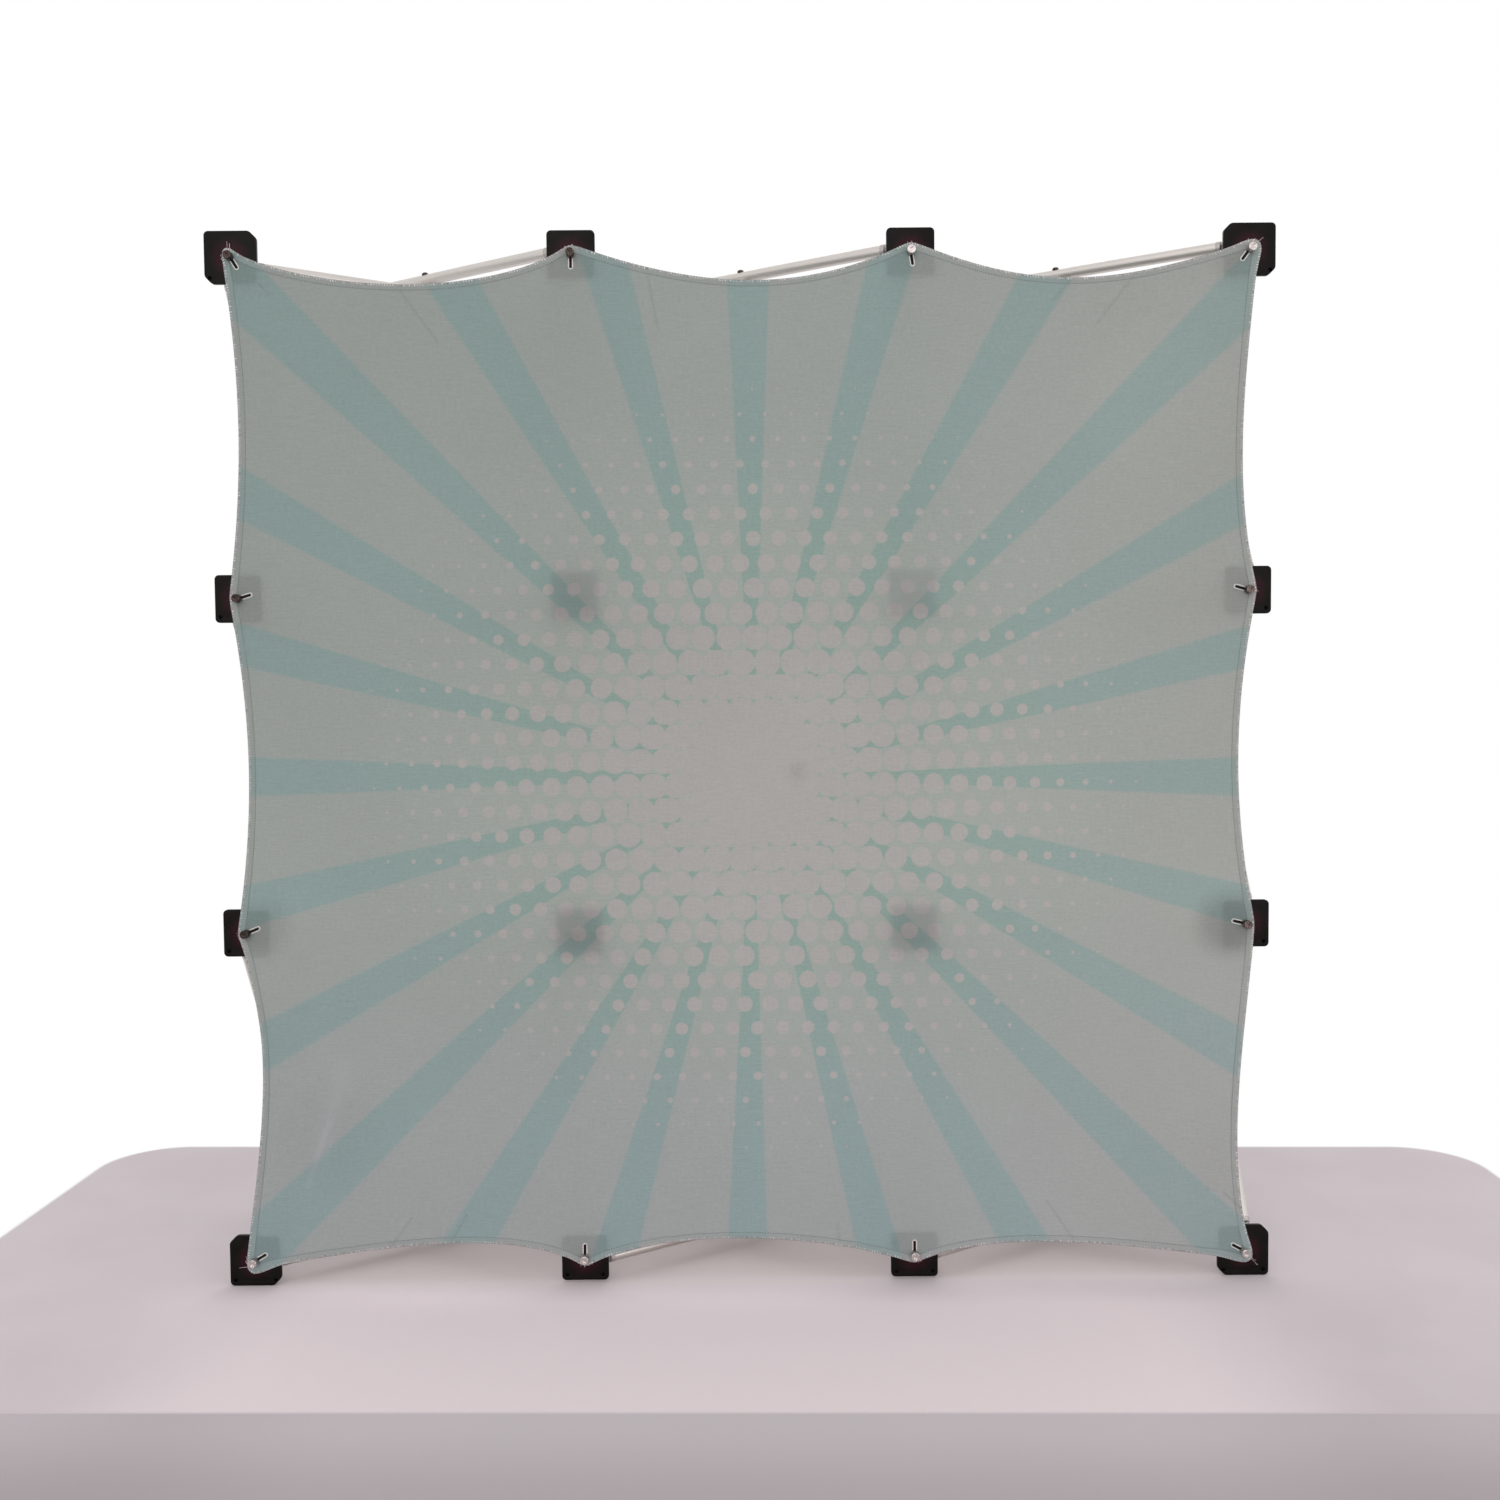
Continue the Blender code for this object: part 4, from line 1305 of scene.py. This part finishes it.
def along_ring(path, step):
    """Points and directions at equal steps along a closed path."""
    lengths = [(path[(k + 1) % len(path)] - path[k]).length for k in range(len(path))]
    total = sum(lengths)
    places, k, passed = [], 0, 0.0
    for index in range(int(total / step)):
        want = index * total / int(total / step)
        while passed + lengths[k] < want:
            passed += lengths[k]
            k += 1
        start, end = path[k], path[(k + 1) % len(path)]
        share = (want - passed) / lengths[k]
        places.append((start.lerp(end, share), (end - start).normalized()))
    return places


def stitch_meshes(lines, points):
    """A running seam along the hem and an overcast row on its outer edge."""
    count = len(lines)

    def ring_at(depth, lift):
        """The loop of places that lies depth lines in from the edge."""
        inner = perimeter(count - 2 * depth)
        return [Vector(points[i + depth, j + depth]) - BACK * lift for i, j in inner]

    seam = bmesh.new()
    for place, way in along_ring(ring_at(hem_line(lines), 0), SEAM_STEP):
        lift = -BACK * (HEM_RAISE * 0.6)
        start, end = (place + way * half + lift for half in (-SEAM_HALF_STITCH, SEAM_HALF_STITCH))
        stitch(seam, start, end, SEAM_WIDTH, SEAM_HEIGHT)
    overcast = bmesh.new()
    for place, way in along_ring(ring_at(0, HEM_RAISE), OVERCAST_STEP):
        inward = -BACK.cross(way).normalized()
        if inward.dot(Vector((0, place.y, CENTRE_HEIGHT)) - place) < 0:
            inward = -inward
        start = place + way * OVERCAST_SLANT - inward * OVERCAST_SLANT
        end = place - way * OVERCAST_SLANT + inward * OVERCAST_REACH
        stitch(overcast, start, end, OVERCAST_WIDTH, OVERCAST_HEIGHT)
    for edit in (seam, overcast):
        bmesh.ops.recalc_face_normals(edit, faces=edit.faces)
    return finished("hem_seam", seam, True), finished("hem_overcast", overcast, True)


def make_buttonholes(thread):
    """Overcast edges round the slit beside each edge stud."""
    pieces = []
    for column, row, label in hubs(edge_only=True):
        centre = hub_place(column, row)
        centre.y -= HOLE_LIFT
        inward = slit_way(column, row)
        side = BACK.cross(inward) * HOLE_HALF_WIDTH
        run = [HOLE_START + (HOLE_END - HOLE_START) * k / 12 for k in range(13)]
        back = [HOLE_END - (HOLE_END - HOLE_START) * k / 12 for k in range(13)]
        tip = centre + inward * HOLE_END
        spine = [centre + inward * reach + side for reach in run]
        for angle in (step * math.pi / 8 for step in range(1, 8)):
            spine.append(tip + side * math.cos(angle) + inward * HOLE_HALF_WIDTH * math.sin(angle))
        spine += [centre + inward * reach - side for reach in back]
        mesh = thread_mesh("buttonhole", [spine], HOLE_THREAD)
        pieces.append(add_piece(f"buttonhole_{label}", mesh, thread, "graphic_fabric", front_body(label)))
    return pieces


def make_loose_threads(look):
    """Cut ends and fuzz of the overcasting, round the cloth's tip at each edge stud."""
    rng = np.random.default_rng(7)
    pieces = []
    for column, row, label in hubs(edge_only=True):
        stud = hub_place(column, row)
        stud.y -= LOOSE_LIFT
        heading = math.atan2(side_of(row), side_of(column))
        paths = []
        for _ in range(FUZZ_COUNT):
            angle = heading + rng.uniform(-1.3, 1.3)
            bend = angle + rng.uniform(-1.2, 1.2)
            length = rng.uniform(*FUZZ_LENGTHS)
            path = [stud + toward(angle) * LOOSE_START]
            for _ in range(4):
                bend += rng.uniform(-0.7, 0.7)
                path.append(path[-1] + toward(bend, rng.uniform(-0.15, 0.1)) * length / 4)
            paths.append(path)
        for start, *turns in LOOSE_ENDS.get(label, ()):
            angle = math.radians(start)
            path = [stud + toward(angle) * LOOSE_START]
            for turn in turns:
                angle += math.radians(turn)
                path.append(path[-1] + toward(angle) * LOOSE_STEP)
            paths.append(path)
        mesh = thread_mesh("loose_threads", paths, LOOSE_THREAD)
        pieces.append(add_piece(f"loose_threads_{label}", mesh, look, "graphic_fabric", front_body(label)))
    return pieces


def make_graphic():
    """The sheet with its hem, sewing and loose threads."""
    lines, points = sheet_points()
    seam_mesh, overcast_mesh = stitch_meshes(lines, points)
    edge_thread = sewing_thread("edge_thread", srgb(122, 114, 118), srgb(240, 228, 230), 420)
    cloth = (
        ("graphic_sheet", sheet_mesh(lines, points), printed_cloth("graphic_print")),
        ("graphic_hem", hem_mesh(lines, points), printed_cloth("hem_cloth", through=0.2, lighter=0.12)),
        ("hem_seam", seam_mesh, sewing_thread("seam_thread", srgb(102, 110, 112), srgb(134, 141, 141))),
        ("hem_overcast", overcast_mesh, edge_thread),
    )
    pieces = []
    for name, mesh, look in cloth:
        node = "graphic_panel" if name == "graphic_sheet" else None
        pieces.append(add_piece(name, mesh, look, "graphic_fabric", "base", node))
        follow_hubs(pieces[-1])
    sheet, *sewn = pieces
    sewn += make_buttonholes(sewing_thread("overcast_thread", srgb(190, 190, 186), srgb(226, 225, 222)))
    sewn += make_loose_threads(sewing_thread("loose_thread", srgb(156, 112, 116), srgb(238, 220, 220)))
    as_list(sewn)


# Floor and lighting
FLOOR_HALF_WIDTH = 8
FLOOR_DROP = 0.0004
TABLE_TURN = -0.0333
DROP_TURN = -0.0226
TABLE_MIDDLE = 0.034
TABLE_BACK = 0.315
TABLE_HALF_WIDTH = 0.843
TABLE_CORNER = 0.085
TABLE_EASE = 0.004
DROP_EDGE = -0.372
# Painted light and shade on the table: between which places each one comes or goes
LIT_MIDDLE = -0.06
LIT_SIDES = (0.38, 0.60)
LIT_FRONT = (-0.17, -0.10)
SHADED_SIDES = (0.42, 0.56)
SHADED_FRONT = (-0.130, -0.085)
SHADED_BACK = (0.12, 0.30)
DROP_EASE = (DROP_EDGE - 0.003, DROP_EDGE + 0.004)
DROP_DEPTH = (DROP_EDGE - 0.14, DROP_EDGE - 0.01)
DROP_SIDES = (0.30, 0.50)
DROP_LINE = (DROP_EDGE - 0.002, DROP_EDGE)
RIGHT_SIDE = (0.36, 0.50)
RIGHT_FRONT = (-0.30, -0.08)
WHITE = (1, 1, 1, 1)
# Lamps: place, width and power; each looks at the middle of the frame
LAMPS = {
    "key": ((-0.9, -4.6, 2.4), 3.2, 74),
    "fill": ((1.9, -1.8, 0.5), 1.6, 8),
    "rim": ((0.4, 2.4, 2.2), 1.8, 12),
}
LAMP_AIM = Vector((0, 0, 0.45))
WORLD_LIGHT = 0.80


def make_floor():
    """A pale cloth-covered table top, painted on a floor that is white round it, with painted light in front
    of the frame and painted shade under it, on the table's front drop, at the drop's ends and to the front
    right.
    """
    edit = bmesh.new()
    bmesh.ops.create_grid(edit, x_segments=2, y_segments=2, size=FLOOR_HALF_WIDTH)
    shader = Surface("floor_cloth", roughness=0.9)
    place = shader.position()
    along, away, _ = shader.parts(place)
    # the table stands a little askew of the frame
    x = along + away * TABLE_TURN - TABLE_MIDDLE
    y = away - along * TABLE_TURN
    side = (abs(x) - (TABLE_HALF_WIDTH - TABLE_CORNER)).most(0.0)
    back = (y - (TABLE_BACK - TABLE_CORNER)).most(0.0)
    white = length_of(side, back).ramp(TABLE_CORNER - TABLE_EASE, TABLE_CORNER + TABLE_EASE)
    weave = shader.noise(place, 900, 2)
    soft = shader.noise(place, 6, 3)
    pale = shader.mix(soft.ramp(0.35, 0.65), srgb(204, 194, 198), srgb(208, 198, 202))
    drop = away - along * DROP_TURN
    # painted light on the table in front of the frame, and painted shade under the frame
    near = abs(x - LIT_MIDDLE).fade(*LIT_SIDES) * y.fade(*LIT_FRONT)
    painted_shade_under_frame = abs(along).fade(*SHADED_SIDES) * (away.ramp(*SHADED_FRONT) * away.fade(*SHADED_BACK))
    # painted shade at the ends of the table's front drop, and to the front right
    ends = abs(along).ramp(*DROP_SIDES) * drop.ramp(*DROP_LINE, 0.16, 0.0)
    right = along.ramp(*RIGHT_SIDE) * y.ramp(*RIGHT_FRONT, 0.04, 0.0)
    for share, tone in (
        (near, srgb(235, 221, 225)),
        (painted_shade_under_frame, srgb(207, 196, 196)),
        # the table's front drop, painted on the flat floor, darker below its edge as painted shade
        (drop.fade(*DROP_EASE), srgb(203, 194, 198)),
        (drop.fade(*DROP_DEPTH), srgb(183, 174, 177)),
        (ends, srgb(120, 112, 115)),
        (right, srgb(120, 112, 115)),
    ):
        pale = shader.mix(share, pale, tone)
    colour = shader.mix(white, pale, srgb(246, 246, 246))
    shader.look(colour, None, shader.bump(weave + soft, 0.0004, 0.4), 0.1)
    shader.cover(shader.seen() * white, Term(shader, shader.main.outputs[0]), shader.add("Emission", 0))
    floor = new_object("floor", finished("floor", edit), shader.material, (0, 0, -FLOOR_DROP))


def light_it():
    """Soft white light all round, a broad lamp high on the left and two faint ones."""
    scene = bpy.context.scene
    scene.world = bpy.data.worlds.new("studio")
    shader = Shader(scene.world)
    plain = shader.nodes["Background"]
    plain.inputs["Color"].default_value = WHITE
    plain.inputs["Strength"].default_value = WORLD_LIGHT
    shown = shader.add("Background", 0, Color=WHITE)
    shader.cover(shader.seen(), Term(shader, plain.outputs[0]), shown, "World Output")
    for name, (place, size, power) in LAMPS.items():
        lamp = bpy.data.lights.new(name, "AREA")
        lamp.size = size
        lamp.energy = power
        obj = bpy.data.objects.new(name, lamp)
        obj.location = place
        obj.rotation_euler = (LAMP_AIM - Vector(place)).to_track_quat("-Z", "Y").to_euler()
        scene.collection.objects.link(obj)
    scene.view_settings.view_transform = "Standard"


place_camera()
light_it()
make_floor()
BROWN_STEEL = turned_steel("stud_steel_brown", srgb(96, 82, 79), srgb(150, 136, 130), srgb(70, 54, 50))
# a darker copy of the stud steel, partly painted shade for studs in shadow; the rivets take it too
DARK_STEEL = turned_steel("stud_steel_dark", srgb(48, 40, 38), srgb(104, 92, 88), srgb(36, 27, 26))
make_hubs(
    moulded_plastic("hub_plastic_moulded"),
    moulded_plastic("hub_plastic_front", 0.55),
    turned_steel("stud_steel_turned", srgb(192, 184, 182), srgb(240, 233, 231), srgb(168, 150, 146)),
    {"brown": BROWN_STEEL, "dark": DARK_STEEL},
)
make_tubes(drawn_aluminium(), crimped_aluminium(), DARK_STEEL)
make_graphic()
